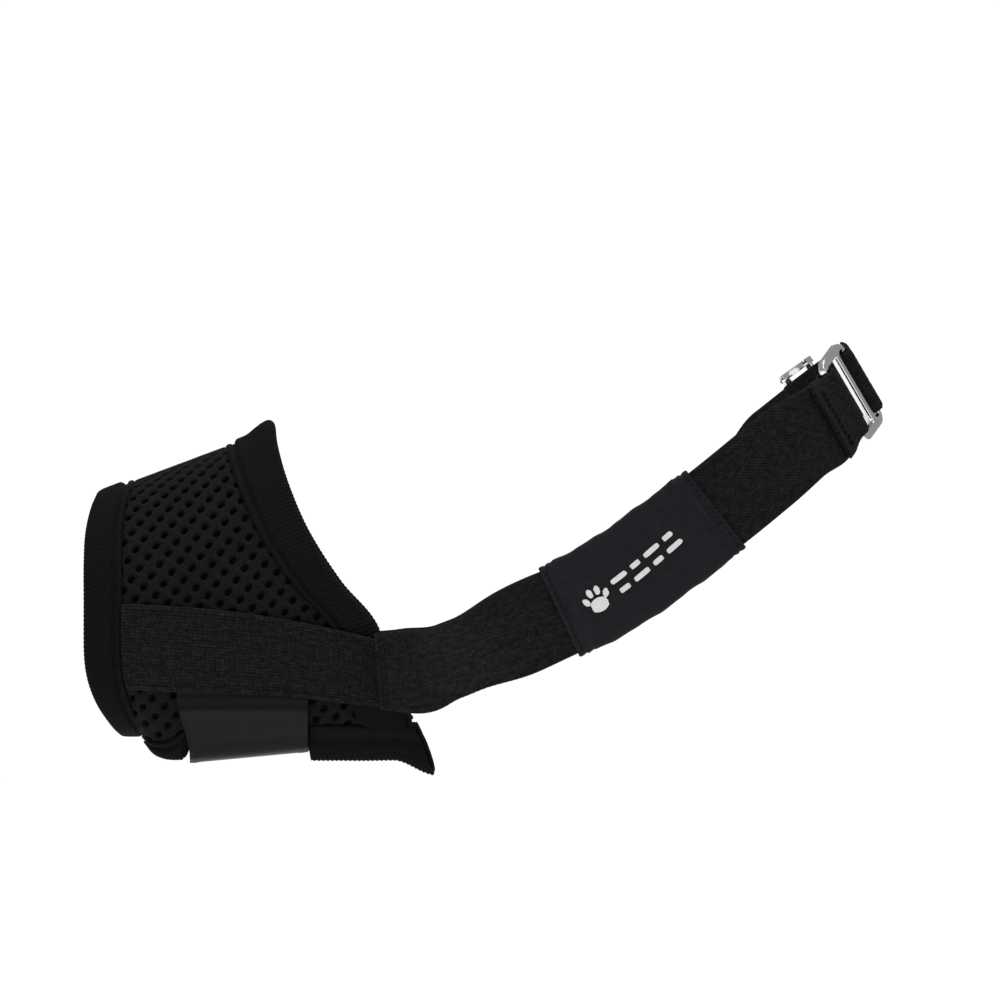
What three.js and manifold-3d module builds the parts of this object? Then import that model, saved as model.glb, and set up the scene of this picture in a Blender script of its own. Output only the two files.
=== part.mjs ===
// Soft mesh dog muzzle with an adjustable neck strap, in millimetres.
// X runs from the nose (-X) to the nape (+X), Y across the snout, and Z up.
// The origin is the middle of the snout tunnel.
import * as THREE from 'three';
import { mergeVertices } from 'three/addons/utils/BufferGeometryUtils.js';
import Module from 'manifold-3d';

const wasm = await Module();
wasm.setup();

// ---- Driving dimensions -------------------------------------------------
const webbing = { width: 25, thick: 1.3 };
const mesh = { thick: 2.5 };
const binding = { inside: -0.8, outside: 3.2, frontWidth: 10.9, rearWidth: 12.4 };
const gap = 0.35;                       // between pieces that are sewn face to face

// Snout tunnel: a tall oval that grows towards the cheeks.
const widestHeight = -10;               // height of the widest line
const halfWidth = (x) => 35.3 + 0.15 * x;
const bridgeHeight = (x) => 41.9 + 0.375 * x;
const frontDepth = 25;                  // below the widest line, at the front ring
const bodyDepth = 52;                   // the same, behind the chin corner
const upperPower = 0.87;
const lowerPower = 0.85;

// Chin band
const band = { front: -16.4, rear: 20.2, thick: 1.4, cornerRadius: 7, top: -29.2 };
const bandBottom = (x) => -44.1 + 0.086 * x;

// Side strap, sewn along each flank
const sideStrap = { rear: 44, restsOnMesh: 3.2, restsOnBinding: 4.3 };
const facing = { front: 33.5, rear: 46.5, bottom: -35.4, top: -20, inside: 3.5, outside: 3.95 };
const sideStrapTop = (x) => -3.1 - 0.06 * x - 0.0038 * x * x;
const sideStrapBottom = (x) => -26.9 - 0.07 * x - 0.0013 * x * x;

// Neck loop
const loopTilt = THREE.MathUtils.degToRad(33);   // how steeply the loop climbs to the nape
const loopUp = new THREE.Vector3(-Math.sin(loopTilt), 0, Math.cos(loopTilt));
const strapHalfLoop = 50;               // half the width of the loop at the cheeks
const junction = { x: 36.8, y: 49.4 };    // where the neck straps start, on the side straps
const label = { front: 88.5, rear: 132.5, thick: 0.8 };

// Nape ring and slide adjuster
const ring = {
  thick: 2.2, inside: 21.4, rail: 2.6, cornerRadius: 3.2,
  leftBar: 2.6, middleBar: 2.7, rightBar: 1.8, middleFromRight: 4.5, lean: 23, bevel: 0.7,
};
const gathered = { left: 20.6, right: 19.4 };            // strap widths inside the ring
const ringNear = new THREE.Vector3(167.8, -22.5, 54.7);    // middle of the left bar
const ringFar = new THREE.Vector3(172.4, -10.2, 60.9);    // middle of the right bar
const adjuster = { bar: 2.4, railThick: 1.8, halfLength: 5, inside: 22 };
const straightStart = new THREE.Vector3(168, 20.5, 59.4);
const straightEnd = new THREE.Vector3(148, 43, 43.4);
const adjusterAlong = 0.36;             // place of the adjuster on that straight stretch

// ---- Small helpers --------------------------------------------------------
const smooth = THREE.MathUtils.smoothstep;
const mix = THREE.MathUtils.lerp;
const degrees = THREE.MathUtils.degToRad;

function signedPower(value, power) {
  return Math.sign(value) * Math.abs(value) ** power;
}

/** A closed solid from rows of points: each row is one closed loop of corners. */
function loft(rows) {
  const count = rows[0].length;
  const positions = rows.flat().flatMap((p) => [p.x, p.y, p.z]);
  const index = [];
  for (let r = 0; r < rows.length - 1; r += 1) {
    const [here, next] = [r * count, (r + 1) * count];
    for (let c = 0; c < count; c += 1) {
      const d = (c + 1) % count;
      index.push(here + c, here + d, next + d, here + c, next + d, next + c);
    }
  }
  const end = (rows.length - 1) * count;
  for (let c = 1; c < count - 1; c += 1) {
    index.push(0, c + 1, c);
    index.push(end, end + c, end + c + 1);
  }
  return facingOut(positions, index);
}

/** An indexed geometry whose faces point out, whichever way it was wound. */
function facingOut(positions, index) {
  const geometry = new THREE.BufferGeometry();
  geometry.setAttribute('position', new THREE.Float32BufferAttribute(positions, 3));
  geometry.setIndex(index);
  let volume = 0;
  const corner = [new THREE.Vector3(), new THREE.Vector3(), new THREE.Vector3()];
  for (let i = 0; i < index.length; i += 3) {
    corner.forEach((c, k) => c.fromArray(positions, index[i + k] * 3));
    volume += corner[0].dot(corner[1].cross(corner[2]));
  }
  if (volume < 0) {
    for (let i = 0; i < index.length; i += 3) {
      [index[i + 1], index[i + 2]] = [index[i + 2], index[i + 1]];
    }
    geometry.setIndex(index);
  }
  geometry.computeVertexNormals();
  return geometry;
}

/** Joins closed geometries into one solid. */
function join(geometries) {
  const solids = geometries.map((source) => {
    const plain = source.index ? source.toNonIndexed() : source.clone();
    plain.deleteAttribute('normal');
    plain.deleteAttribute('uv');
    const merged = mergeVertices(plain, 1e-4);
    return new wasm.Manifold(new wasm.Mesh({
      numProp: 3,
      vertProperties: new Float32Array(merged.attributes.position.array),
      triVerts: new Uint32Array(merged.index.array),
    }));
  });
  const result = solids.reduce((sum, solid) => sum.add(solid)).getMesh();
  return facingOut([...result.vertProperties], [...result.triVerts]);
}

// ---- The muzzle's surface ---------------------------------------------------
const depthAt = (x) => frontDepth + (bodyDepth - frontDepth) * smooth(x, -31, -14)
  + 4 * smooth(x, 30, 55);

/** A point of the tunnel's section at x. Angle 0 is the nose bridge, and +90 degrees is +Y. */
function sectionPoint(x, angle, depth = depthAt(x)) {
  const cosine = Math.cos(angle);
  const upper = cosine > 0;
  const power = upper ? upperPower : lowerPower;
  const rise = upper ? bridgeHeight(x) - widestHeight : depth;
  return new THREE.Vector3(
    x,
    halfWidth(x) * signedPower(Math.sin(angle), power),
    widestHeight + rise * signedPower(cosine, power),
  );
}

/** The section point moved out along the surface's normal. */
function surfacePoint(x, angle, out, depthOf = depthAt) {
  const step = 0.5;
  const turn = 0.01;
  const at = (px, pa) => sectionPoint(px, pa, depthOf(px));
  const along = at(x + step, angle).sub(at(x - step, angle));
  const round = at(x, angle + turn).sub(at(x, angle - turn));
  const normal = round.cross(along).normalize();
  const point = at(x, angle);
  const middle = new THREE.Vector3(x, 0, widestHeight);
  if (normal.dot(point.clone().sub(middle)) < 0) normal.negate();
  return point.addScaledVector(normal, out);
}

/** The angle, from 0 to 180 degrees, at which the section reaches height z. */
function angleAt(x, z) {
  const upper = z > widestHeight;
  const rise = upper ? bridgeHeight(x) - widestHeight : depthAt(x);
  const power = upper ? upperPower : lowerPower;
  const ratio = THREE.MathUtils.clamp((z - widestHeight) / rise, -1, 1);
  return Math.acos(signedPower(ratio, 1 / power));
}

/** A sheet on the surface between two thicknesses, as a closed solid. */
function sheet({ place, across, round, inside, outside, ringShaped = false, depthOf }) {
  const rows = [];
  const rounds = ringShaped ? round : round + 1;
  const heightAt = (height, x) => (typeof height === 'function' ? height(x) : height);
  for (let r = 0; r < rounds; r += 1) {
    const places = Array.from({ length: across + 1 }, (_, c) => place(c / across, r / round));
    const layerAt = (height) => places.map(({ x, angle }) => (
      surfacePoint(x, angle, heightAt(height, x), depthOf)
    ));
    rows.push([...layerAt(outside), ...layerAt(inside).reverse()]);
  }
  return loftStrip(rows, across + 1, ringShaped);
}

/** Rows of outer points then inner points, closed at both ends by quads. */
function loftStrip(rows, width, closed) {
  const count = width * 2;
  const positions = rows.flat().flatMap((p) => [p.x, p.y, p.z]);
  const index = [];
  const quad = (a, b, c, d) => index.push(a, b, c, a, c, d);
  const lastRow = closed ? rows.length : rows.length - 1;
  for (let r = 0; r < lastRow; r += 1) {
    const here = r * count;
    const next = ((r + 1) % rows.length) * count;
    for (let c = 0; c < count; c += 1) {
      const d = (c + 1) % count;
      quad(here + c, here + d, next + d, next + c);
    }
  }
  if (!closed) {
    const end = (rows.length - 1) * count;
    for (let c = 0; c < width - 1; c += 1) {
      const inner = count - 1 - c;
      quad(c, inner, inner - 1, c + 1);
      quad(end + c, end + c + 1, end + inner - 1, end + inner);
    }
  }
  return facingOut(positions, index);
}

// Front and rear edges of the tunnel, and the heights of its lower edge.
function frontEdge(angle) {
  const cosine = Math.cos(angle);
  const back = cosine > 0 ? 3.4 * cosine ** 6 : 9 * Math.abs(cosine) ** 2.4;
  return -43.6 + back;
}

/** The front ring's rear edge: the ring is a little narrower under the jaw. */
function ringRear(angle) {
  const under = Math.max(0, -Math.cos(angle)) ** 2;
  return frontEdge(angle) + binding.frontWidth - 2.4 * under;
}

/** The same edge at height z. */
function ringRearAt(x, z) {
  const upper = z > widestHeight;
  const rise = upper ? bridgeHeight(x) - widestHeight : frontDepth;
  const ratio = THREE.MathUtils.clamp((z - widestHeight) / rise, -1, 1);
  return ringRear(Math.acos(signedPower(ratio, 1 / (upper ? upperPower : lowerPower))));
}

const rearEdgeCurve = new THREE.CatmullRomCurve3([
  [0, 8.6], [25, 9.8], [48, 13.6], [65, 19.2], [79, 27.8], [90, 38.9], [103, 43.6],
  [113, 48.8], [120, 51.6], [131, 54.6],
].map(([turn, x]) => new THREE.Vector3(turn, x, 0)));
const rearEdgeTable = rearEdgeCurve.getPoints(80);

function rearEdge(angle) {
  const turn = Math.abs(THREE.MathUtils.radToDeg(angle));
  const after = rearEdgeTable.findIndex((p) => p.x >= turn);
  if (after === -1) return rearEdgeTable.at(-1).y;
  if (after === 0) return rearEdgeTable[0].y;
  const [a, b] = [rearEdgeTable[after - 1], rearEdgeTable[after]];
  return mix(a.y, b.y, (turn - a.x) / (b.x - a.x));
}

/** How far the chin band presses the lower bindings in, from 0 to 1. */
const squeeze = (x) => smooth(x, -20, -16.8) * (1 - smooth(x, 20.6, 24));

function lowerEdge(x) {
  const corner = 8 * (Math.max(0, -17 - x) / 10.8) ** 2.2;
  const tip = 4 * smooth(x, 43, 54.5);
  return mix(-44 + corner - tip, bandBottom(x) + 4.6, squeeze(x));
}

const lowerBindingTop = (x) => mix(-38.7, -34.2, smooth(x, -20, -12));

// ---- Pieces of the muzzle ---------------------------------------------------
const mirrored = (side, angle) => (side === 'left' ? -angle : angle);

function meshPanel() {
  const place = (u, v) => {
    const spread = v * 2 - 1;
    let limit = degrees(120);
    let x = 0;
    for (let i = 0; i < 12; i += 1) {
      const angle = spread * limit;
      const z = sectionPoint(x, angle).z;
      const front = ringRearAt(x, z) + gap + 1.3 * smooth(-z, 18, 27);
      const rear = rearEdge(angle) - binding.rearWidth - 2 * gap;
      x = mix(front, rear, u);
      limit = angleAt(x, Math.max(lowerBindingTop(x), lowerEdge(x)) + 3 * gap + 0.5 * squeeze(x));
    }
    return { x, angle: spread * limit };
  };
  return sheet({ place, across: 12, round: 44, inside: 0, outside: mesh.thick });
}

function frontBinding() {
  const place = (u, v) => {
    const angle = v * Math.PI * 2 - Math.PI;
    return { x: mix(frontEdge(angle), ringRear(angle), u), angle };
  };
  return sheet({
    place, across: 2, round: 44, ringShaped: true, depthOf: () => frontDepth,
    inside: binding.inside, outside: binding.outside,
  });
}

function rearBinding() {
  const place = (u, v) => {
    let angle = 0;
    let x = 45;
    for (let i = 0; i < 12; i += 1) {
      const limit = angleAt(x, lowerBindingTop(x) + 2 * gap);
      angle = mix(-limit, limit, v);
      x = rearEdge(angle) - binding.rearWidth * (1 - u);
    }
    return { x, angle };
  };
  return sheet({ place, across: 3, round: 44, inside: binding.inside, outside: binding.outside });
}

function lowerBinding(side) {
  const place = (u, v) => {
    let rear = 53;
    let x = 53;
    let z = -40;
    for (let i = 0; i < 12; i += 1) {
      rear = rearEdge(angleAt(rear, mix(lowerBindingTop(rear), lowerEdge(rear), u)));
      x = mix(-25.6, rear, v);
      z = mix(lowerBindingTop(x), lowerEdge(x), u);
    }
    return { x, angle: mirrored(side, angleAt(x, z)) };
  };
  const outside = (x) => binding.outside - 0.9 * squeeze(x);
  return sheet({ place, across: 2, round: 32, inside: binding.inside, outside });
}

function sideStrapPiece(side) {
  const place = (u, v) => {
    const heightAt = (x) => mix(sideStrapBottom(x), sideStrapTop(x), u);
    let start = -31;
    for (let i = 0; i < 12; i += 1) {
      start = frontEdge(angleAt(start, heightAt(start))) + binding.frontWidth + gap;
    }
    const x = mix(start, sideStrap.rear, v);
    return { x, angle: mirrored(side, angleAt(x, heightAt(x))) };
  };
  const rest = (x) => mix(sideStrap.restsOnMesh, sideStrap.restsOnBinding, smooth(x, 16, 30));
  return sheet({
    place, across: 3, round: 30, inside: rest, outside: (x) => rest(x) + webbing.thick,
  });
}

function strapFacing(side) {
  const place = (u, v) => {
    const x = mix(facing.front, facing.rear, v);
    return { x, angle: mirrored(side, angleAt(x, mix(facing.bottom, facing.top, u))) };
  };
  return sheet({ place, across: 3, round: 3, inside: facing.inside, outside: facing.outside });
}

/** The chin band's section at x: down one side, round a corner and flat under the jaw. */
function bandSection(x, inset) {
  const { cornerRadius, top } = band;
  const bottom = bandBottom(x);
  const cornerHeight = bottom + cornerRadius;
  const flank = 4;
  const corner = 5;
  const half = [];
  for (let i = 0; i <= flank; i += 1) {
    const z = mix(top - 0.07 * x, cornerHeight, i / flank);
    const y = surfacePoint(x, angleAt(x, z), 0).y + 3.6 + band.thick;
    half.push([y - inset, z]);
  }
  const centre = half.at(-1)[0] + inset - cornerRadius;
  for (let i = 1; i <= corner; i += 1) {
    const turn = (Math.PI / 2) * (i / corner);
    const radius = cornerRadius - inset;
    half.push([centre + radius * Math.cos(turn), cornerHeight - radius * Math.sin(turn)]);
  }
  const right = half.map(([y, z]) => new THREE.Vector3(x, y, z));
  const left = [...half].reverse().map(([y, z]) => new THREE.Vector3(x, -y, z));
  return [...right, ...left];
}

function chinBand() {
  const steps = 3;
  const sections = [];
  for (let i = 0; i <= steps; i += 1) {
    const x = mix(band.front, band.rear, i / steps);
    sections.push({ outer: bandSection(x, 0), inner: bandSection(x, band.thick) });
  }
  const rows = sections[0].outer.map((_, k) => [
    ...sections.map((s) => s.outer[k]),
    ...[...sections].reverse().map((s) => s.inner[k]),
  ]);
  return loftStrip(rows, steps + 1, false);
}

// ---- Straps of the neck loop ------------------------------------------------
/** Frames along a strap's middle line: the width lies along the loop's own axis. */
function strapStations(curve, count, { tilt = () => 0, up = () => loopUp } = {}) {
  const stations = [];
  for (let i = 0; i <= count; i += 1) {
    const at = i / count;
    const middle = curve.getPointAt(at);
    const tangent = curve.getTangentAt(at);
    const across = up(middle).clone();
    across.addScaledVector(tangent, -across.dot(tangent)).normalize();
    across.applyAxisAngle(tangent, tilt(middle));
    const normal = tangent.clone().cross(across).normalize();
    stations.push({ middle, across, normal });
  }
  return stations;
}

function strapCorners({ middle, across, normal }, width, thick) {
  const corner = (a, n) => middle.clone()
    .addScaledVector(across, (a * width) / 2)
    .addScaledVector(normal, (n * thick) / 2);
  return [corner(-1, 1), corner(1, 1), corner(1, -1), corner(-1, -1)];
}

function strap(stations, widthAt = () => webbing.width) {
  return loft(stations.map((s) => strapCorners(s, widthAt(s.middle), webbing.thick)));
}

/** The strap's face turns up a little just behind the junction. */
const junctionTilt = (x) => degrees(34) * smooth(x, 43, 58) * (1 - smooth(x, 62, 84));

/** Middle line from the junction to the start of the nape curve. */
function cheekLine(side, rise = 0) {
  const y = side === 'left' ? -1 : 1;
  return [
    [junction.x, junction.y, -21.6], [48, 49.5, -20.4], [60, 49.7, -16.4], [74, 49.9, -10.3],
    [84, strapHalfLoop, -5.6], [95, strapHalfLoop, -0.3], [106, strapHalfLoop, 6],
    [121, strapHalfLoop, 16.8 + rise * 0.3], [135.5, strapHalfLoop, 28 + rise * 0.8],
  ].map(([px, py, pz]) => new THREE.Vector3(px, y * py, pz));
}

const ringAlong = ringFar.clone().sub(ringNear).normalize();
const ringLean = degrees(ring.lean);
const ringAcross = new THREE.Vector3(-Math.sin(ringLean), 0, Math.cos(ringLean));
ringAcross.addScaledVector(ringAlong, -ringAcross.dot(ringAlong)).normalize();
const ringOut = ringAlong.clone().cross(ringAcross).normalize();

/** Points beside a bar, a along the strap and b out from the neck. */
function besideBar(bar, along, out) {
  return ([a, b]) => bar.clone().addScaledVector(along, a).addScaledVector(out, b);
}

const leftFoldRadius = ring.leftBar / 2 + 0.5 + webbing.thick / 2;
const rightFoldRadius = ring.thick / 2 + gap + webbing.thick / 2;
const layer = 0.85;                     // each layer's distance from a doubled strap's middle
const narrowed = (middle) => {
  const away = middle.distanceTo(ringNear);
  return mix(mix(gathered.left, 22.6, smooth(away, 4, 11)), webbing.width, smooth(away, 16, 50));
};
const turningUp = (bar) => (middle) => (
  ringAcross.clone().lerp(loopUp, smooth(middle.distanceTo(bar), 12, 32))
);

/** A strap folded round a bar, from layer to layer, as points [along, out]. */
function fold(direction, reach, radius) {
  const leg = [[reach, layer], [reach * 0.6, layer], [4, mix(layer, radius, 0.35)]];
  const arc = [];
  for (let i = 0; i <= 6; i += 1) {
    const turn = (Math.PI * i) / 6;
    arc.push([-radius * Math.sin(turn), radius * Math.cos(turn)]);
  }
  const back = [...leg].reverse().map(([a, b]) => [a, -b]);
  return [...leg, ...arc, ...back].map(([a, b]) => [a * direction, b]);
}

function neckStrapLeft() {
  const local = besideBar(ringNear, ringAlong, ringOut);
  const wrapped = fold(-1, 13.5, leftFoldRadius).reverse().map(local);
  const curve = new THREE.CatmullRomCurve3([
    ...cheekLine('left'),
    new THREE.Vector3(146, -48, 36.6),
    new THREE.Vector3(155.5, -42.6, 44.4),
    ...wrapped,
  ]);
  const stations = strapStations(curve, 96, {
    tilt: (middle) => -junctionTilt(middle.x), up: turningUp(ringNear),
  });
  return strap(stations, narrowed);
}

const napeMiddle = new THREE.Vector3(172.8, 9.6, 62);    // just right of the nape's centre
const loopAlong = napeMiddle.clone().sub(ringFar);
loopAlong.addScaledVector(ringAcross, -loopAlong.dot(ringAcross)).normalize();
const loopOut = loopAlong.clone().cross(ringAcross).normalize();

function ringLoop() {
  const local = besideBar(ringFar, loopAlong, loopOut);
  const curve = new THREE.CatmullRomCurve3(fold(1, 6.4, rightFoldRadius).map(local));
  return strap(strapStations(curve, 22, { up: () => ringAcross }), () => gathered.right);
}

const straightAlong = straightEnd.clone().sub(straightStart).normalize();
const straightAcross = loopUp.clone()
  .addScaledVector(straightAlong, -loopUp.dot(straightAlong)).normalize();
const straightOut = straightAlong.clone().cross(straightAcross).normalize();
const straightPoint = (t, out) => straightStart.clone().lerp(straightEnd, t)
  .addScaledVector(straightOut, out);

/** Middle line of the doubled strap between the ring and the straight stretch. */
function napeLine(out) {
  const local = besideBar(ringFar, loopAlong, loopOut);
  return [local([10.8, out]), napeMiddle.clone().addScaledVector(loopOut, out)];
}

function neckStrapRight() {
  const curve = new THREE.CatmullRomCurve3([
    ...napeLine(layer),
    ...[0, 0.12, 0.3, 0.5, 0.7, 0.88, 1].map((t) => straightPoint(t, layer)),
    ...cheekLine('right', 3.6).reverse(),
  ]);
  const stations = strapStations(curve, 70, {
    tilt: (middle) => -junctionTilt(middle.x), up: turningUp(ringFar),
  });
  return strap(stations, (middle) => (
    mix(gathered.right, webbing.width, smooth(-middle.x, -148, -112))
  ));
}

const adjusterMiddle = straightPoint(adjusterAlong, 0);
const innerBarOut = -2.95;               // the middle bar's height below the doubled strap

function returnStrap() {
  const bar = adjusterMiddle.clone().addScaledVector(straightOut, innerBarOut);
  const local = besideBar(bar, straightAlong, straightOut);
  const radius = adjuster.bar / 2 + 0.3 + webbing.thick / 2;
  const turned = [];
  for (let i = 0; i <= 6; i += 1) {
    const turn = (Math.PI * i) / 6;
    turned.push([radius * Math.sin(turn), -radius * Math.cos(turn)]);
  }
  const curve = new THREE.CatmullRomCurve3([
    ...[[-11, 0.4], [-7, 0.4], [-4, -0.9], ...turned, [-3.5, 2.1]].map(local),
    straightPoint(0.14, -layer), straightPoint(0.06, -layer),
  ]);
  return strap(strapStations(curve, 28, { up: () => straightAcross }), () => gathered.right);
}

// ---- Label, hardware and seams ----------------------------------------------
function cheekStations(side, from, to, count) {
  const curve = new THREE.CatmullRomCurve3(cheekLine(side));
  const stations = strapStations(curve, 400).filter(({ middle }) => (
    middle.x >= from && middle.x <= to
  ));
  return Array.from({ length: count + 1 }, (_, i) => (
    stations[Math.round((i / count) * (stations.length - 1))]
  ));
}

function labelSleeve() {
  const stations = cheekStations('left', label.front, label.rear, 12);
  const inner = { width: webbing.width + 1.2, thick: webbing.thick + 0.9 };
  const outer = { width: inner.width + 2 * label.thick, thick: inner.thick + 2 * label.thick };
  const rows = [0, 1, 2, 3].map((k) => [
    ...stations.map((s) => strapCorners(s, outer.width, outer.thick)[k]),
    ...[...stations].reverse().map((s) => strapCorners(s, inner.width, inner.thick)[k]),
  ]);
  return loftStrip(rows, stations.length, true);
}

/** A rectangle with round corners, centred on [centre, 0]. */
function roundedOutline(width, height, radius, target, centre) {
  const [x, y] = [width / 2 - radius, height / 2 - radius];
  const corners = [[x, -y], [x, y], [-x, y], [-x, -y]];
  target.moveTo(centre - x, -y - radius);
  corners.forEach(([cx, cy], quarter) => {
    const start = (quarter - 1) * (Math.PI / 2);
    target.absarc(centre + cx, cy, radius, start, start + Math.PI / 2);
  });
  return target;
}

function placed(geometry, origin, xAxis, yAxis, zAxis) {
  const matrix = new THREE.Matrix4().makeBasis(xAxis, yAxis, zAxis).setPosition(origin);
  return geometry.applyMatrix4(matrix);
}

function napeRing() {
  const { thick, inside, rail, cornerRadius, leftBar, middleBar, rightBar, bevel } = ring;
  const pitch = ringNear.distanceTo(ringFar);
  const slot = (from, to) => roundedOutline(
    to - from + 2 * bevel, inside + 2 * bevel, 0.4 + bevel, new THREE.Path(), (from + to) / 2,
  );
  const [left, right] = [-leftBar / 2 + bevel, pitch + rightBar / 2 - bevel];
  const shape = roundedOutline(
    right - left, inside + 2 * rail - 2 * bevel, cornerRadius, new THREE.Shape(),
    (left + right) / 2,
  );
  const middle = pitch - ring.middleFromRight;
  shape.holes.push(
    slot(leftBar / 2, middle - middleBar / 2),
    slot(middle + middleBar / 2, pitch - rightBar / 2),
  );
  const depth = thick - 2 * bevel;
  const geometry = new THREE.ExtrudeGeometry(shape, {
    depth, bevelEnabled: true, bevelSize: bevel, bevelThickness: bevel, bevelSegments: 2,
    curveSegments: 3,
  });
  geometry.translate(0, 0, -depth / 2);
  return placed(geometry, ringNear, ringAlong, ringAcross, ringOut);
}

function slideAdjuster() {
  const { bar, railThick, halfLength, inside } = adjuster;
  const outerBarOut = layer + webbing.thick / 2 + gap + bar / 2;
  const rail = new THREE.Shape();
  const [reach, top] = [halfLength + bar / 2, outerBarOut + bar / 2];
  rail.moveTo(-reach, top - 0.8);
  rail.quadraticCurveTo(-reach, top, -reach + 0.8, top);
  rail.lineTo(-halfLength + 0.6, top);
  rail.quadraticCurveTo(0, innerBarOut + 2.6, halfLength - 0.6, top);
  rail.lineTo(reach - 0.8, top);
  rail.quadraticCurveTo(reach, top, reach, top - 0.8);
  rail.lineTo(reach, outerBarOut - bar / 2);
  rail.quadraticCurveTo(3.4, innerBarOut - bar / 2, 0, innerBarOut - bar / 2);
  rail.quadraticCurveTo(-3.4, innerBarOut - bar / 2, -reach, outerBarOut - bar / 2);
  const pieces = [-1, 1].map((end) => {
    const plate = new THREE.ExtrudeGeometry(rail, {
      depth: railThick, bevelEnabled: false, curveSegments: 5,
    });
    // The outline's x is along the strap and its y is out from the neck.
    plate.rotateX(Math.PI / 2);
    return plate.translate(0, end * (inside / 2 + railThick / 2) + railThick / 2, 0);
  });
  const bars = [[-halfLength, outerBarOut], [0, innerBarOut], [halfLength, outerBarOut]];
  for (const [along, out] of bars) {
    const rod = new THREE.CylinderGeometry(bar / 2, bar / 2, inside + railThick, 12);
    pieces.push(rod.translate(along, 0, out));
  }
  return placed(join(pieces), adjusterMiddle, straightAlong, straightAcross, straightOut);
}

/** A dense row of thread across a strap, lying on its outer face. */
function seamRow(middle, along, across, out, length) {
  const geometry = new THREE.BoxGeometry(1.6, length, 0.4);
  return placed(geometry, middle, along, across, out);
}

function junctionSeam(side) {
  const [station] = cheekStations(side, junction.x, 60, 1);
  const y = side === 'left' ? -1 : 1;
  const along = new THREE.Vector3(1, 0, 0);
  const up = new THREE.Vector3(0, 0, 1);
  const middle = station.middle.clone();
  middle.x += 2.6;
  middle.z += 0.8;
  middle.y = y * (junction.y + webbing.thick / 2 + gap + 0.55);
  return seamRow(middle, along, up, along.clone().cross(up), 17);
}

function hemSeam() {
  const local = besideBar(ringNear, ringAlong, ringOut);
  const height = layer + webbing.thick / 2 + gap + 0.3;
  return seamRow(local([-10.6, height]), ringAlong, ringAcross, ringOut, 20);
}

// ---- Assembly -----------------------------------------------------------------
const looks = {
  mesh: { color: 0x1e1e20, roughness: 0.92, metalness: 0 },
  binding: { color: 0x171719, roughness: 0.85, metalness: 0 },
  webbing: { color: 0x1d1d1f, roughness: 0.95, metalness: 0 },
  elastic: { color: 0x17171b, roughness: 0.5, metalness: 0 },
  satin: { color: 0x1e1d24, roughness: 0.45, metalness: 0 },
  chrome: { color: 0xe6e6ea, roughness: 0.12, metalness: 1 },
  thread: { color: 0x121214, roughness: 0.8, metalness: 0 },
};

function piece(name, geometry, look) {
  const result = new THREE.Mesh(geometry, new THREE.MeshStandardMaterial(looks[look]));
  result.name = name;
  return result;
}

const muzzle = new THREE.Group();
muzzle.add(
  piece('mesh_panel', meshPanel(), 'mesh'),
  piece('front_binding', frontBinding(), 'binding'),
  piece('rear_binding', rearBinding(), 'binding'),
  piece('chin_band', chinBand(), 'elastic'),
);
for (const side of ['left', 'right']) {
  muzzle.add(
    piece(`lower_binding_${side}`, lowerBinding(side), 'binding'),
    piece(`side_strap_${side}`, sideStrapPiece(side), 'webbing'),
    piece(`strap_facing_${side}`, strapFacing(side), 'elastic'),
  );
}

const neckLoop = new THREE.Group();
neckLoop.add(
  piece('neck_strap_left', neckStrapLeft(), 'webbing'),
  piece('neck_strap_right', neckStrapRight(), 'webbing'),
  piece('label_sleeve', labelSleeve(), 'satin'),
  piece('junction_seam_left', junctionSeam('left'), 'thread'),
  piece('junction_seam_right', junctionSeam('right'), 'thread'),
  piece('hem_seam', hemSeam(), 'thread'),
);

const napeGroup = new THREE.Group();
napeGroup.add(
  piece('nape_ring', napeRing(), 'chrome'),
  piece('ring_loop', ringLoop(), 'webbing'),
);

const adjusterGroup = new THREE.Group();
adjusterGroup.add(
  piece('slide_adjuster', slideAdjuster(), 'chrome'),
  piece('return_strap', returnStrap(), 'webbing'),
);

const group = new THREE.Group();
group.add(muzzle, neckLoop, napeGroup, adjusterGroup);
export default group;
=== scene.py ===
import math

import bpy
import numpy as np
from mathutils import Matrix, Vector


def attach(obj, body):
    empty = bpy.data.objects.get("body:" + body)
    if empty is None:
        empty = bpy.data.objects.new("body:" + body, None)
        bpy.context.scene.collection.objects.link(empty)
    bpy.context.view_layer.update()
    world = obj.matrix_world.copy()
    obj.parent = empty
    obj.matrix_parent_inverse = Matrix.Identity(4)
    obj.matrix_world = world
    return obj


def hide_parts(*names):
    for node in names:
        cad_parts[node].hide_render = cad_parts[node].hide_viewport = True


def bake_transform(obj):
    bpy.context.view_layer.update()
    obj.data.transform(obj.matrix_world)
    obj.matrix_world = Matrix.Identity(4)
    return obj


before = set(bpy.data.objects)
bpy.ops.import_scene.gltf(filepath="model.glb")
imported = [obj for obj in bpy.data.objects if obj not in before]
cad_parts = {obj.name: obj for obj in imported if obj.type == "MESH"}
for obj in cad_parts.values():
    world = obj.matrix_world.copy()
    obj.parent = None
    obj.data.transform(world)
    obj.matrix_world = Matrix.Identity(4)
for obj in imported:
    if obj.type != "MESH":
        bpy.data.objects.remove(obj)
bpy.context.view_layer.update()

# A soft mesh dog muzzle. Lengths below are millimetres unless a name says otherwise;
# add_mesh turns them into metres. X runs from the nose to the nape, and Z is up.
MM = 0.001
LEFT, RIGHT = -1, 1
SIDE_WORD = {LEFT: "left", RIGHT: "right"}

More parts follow.
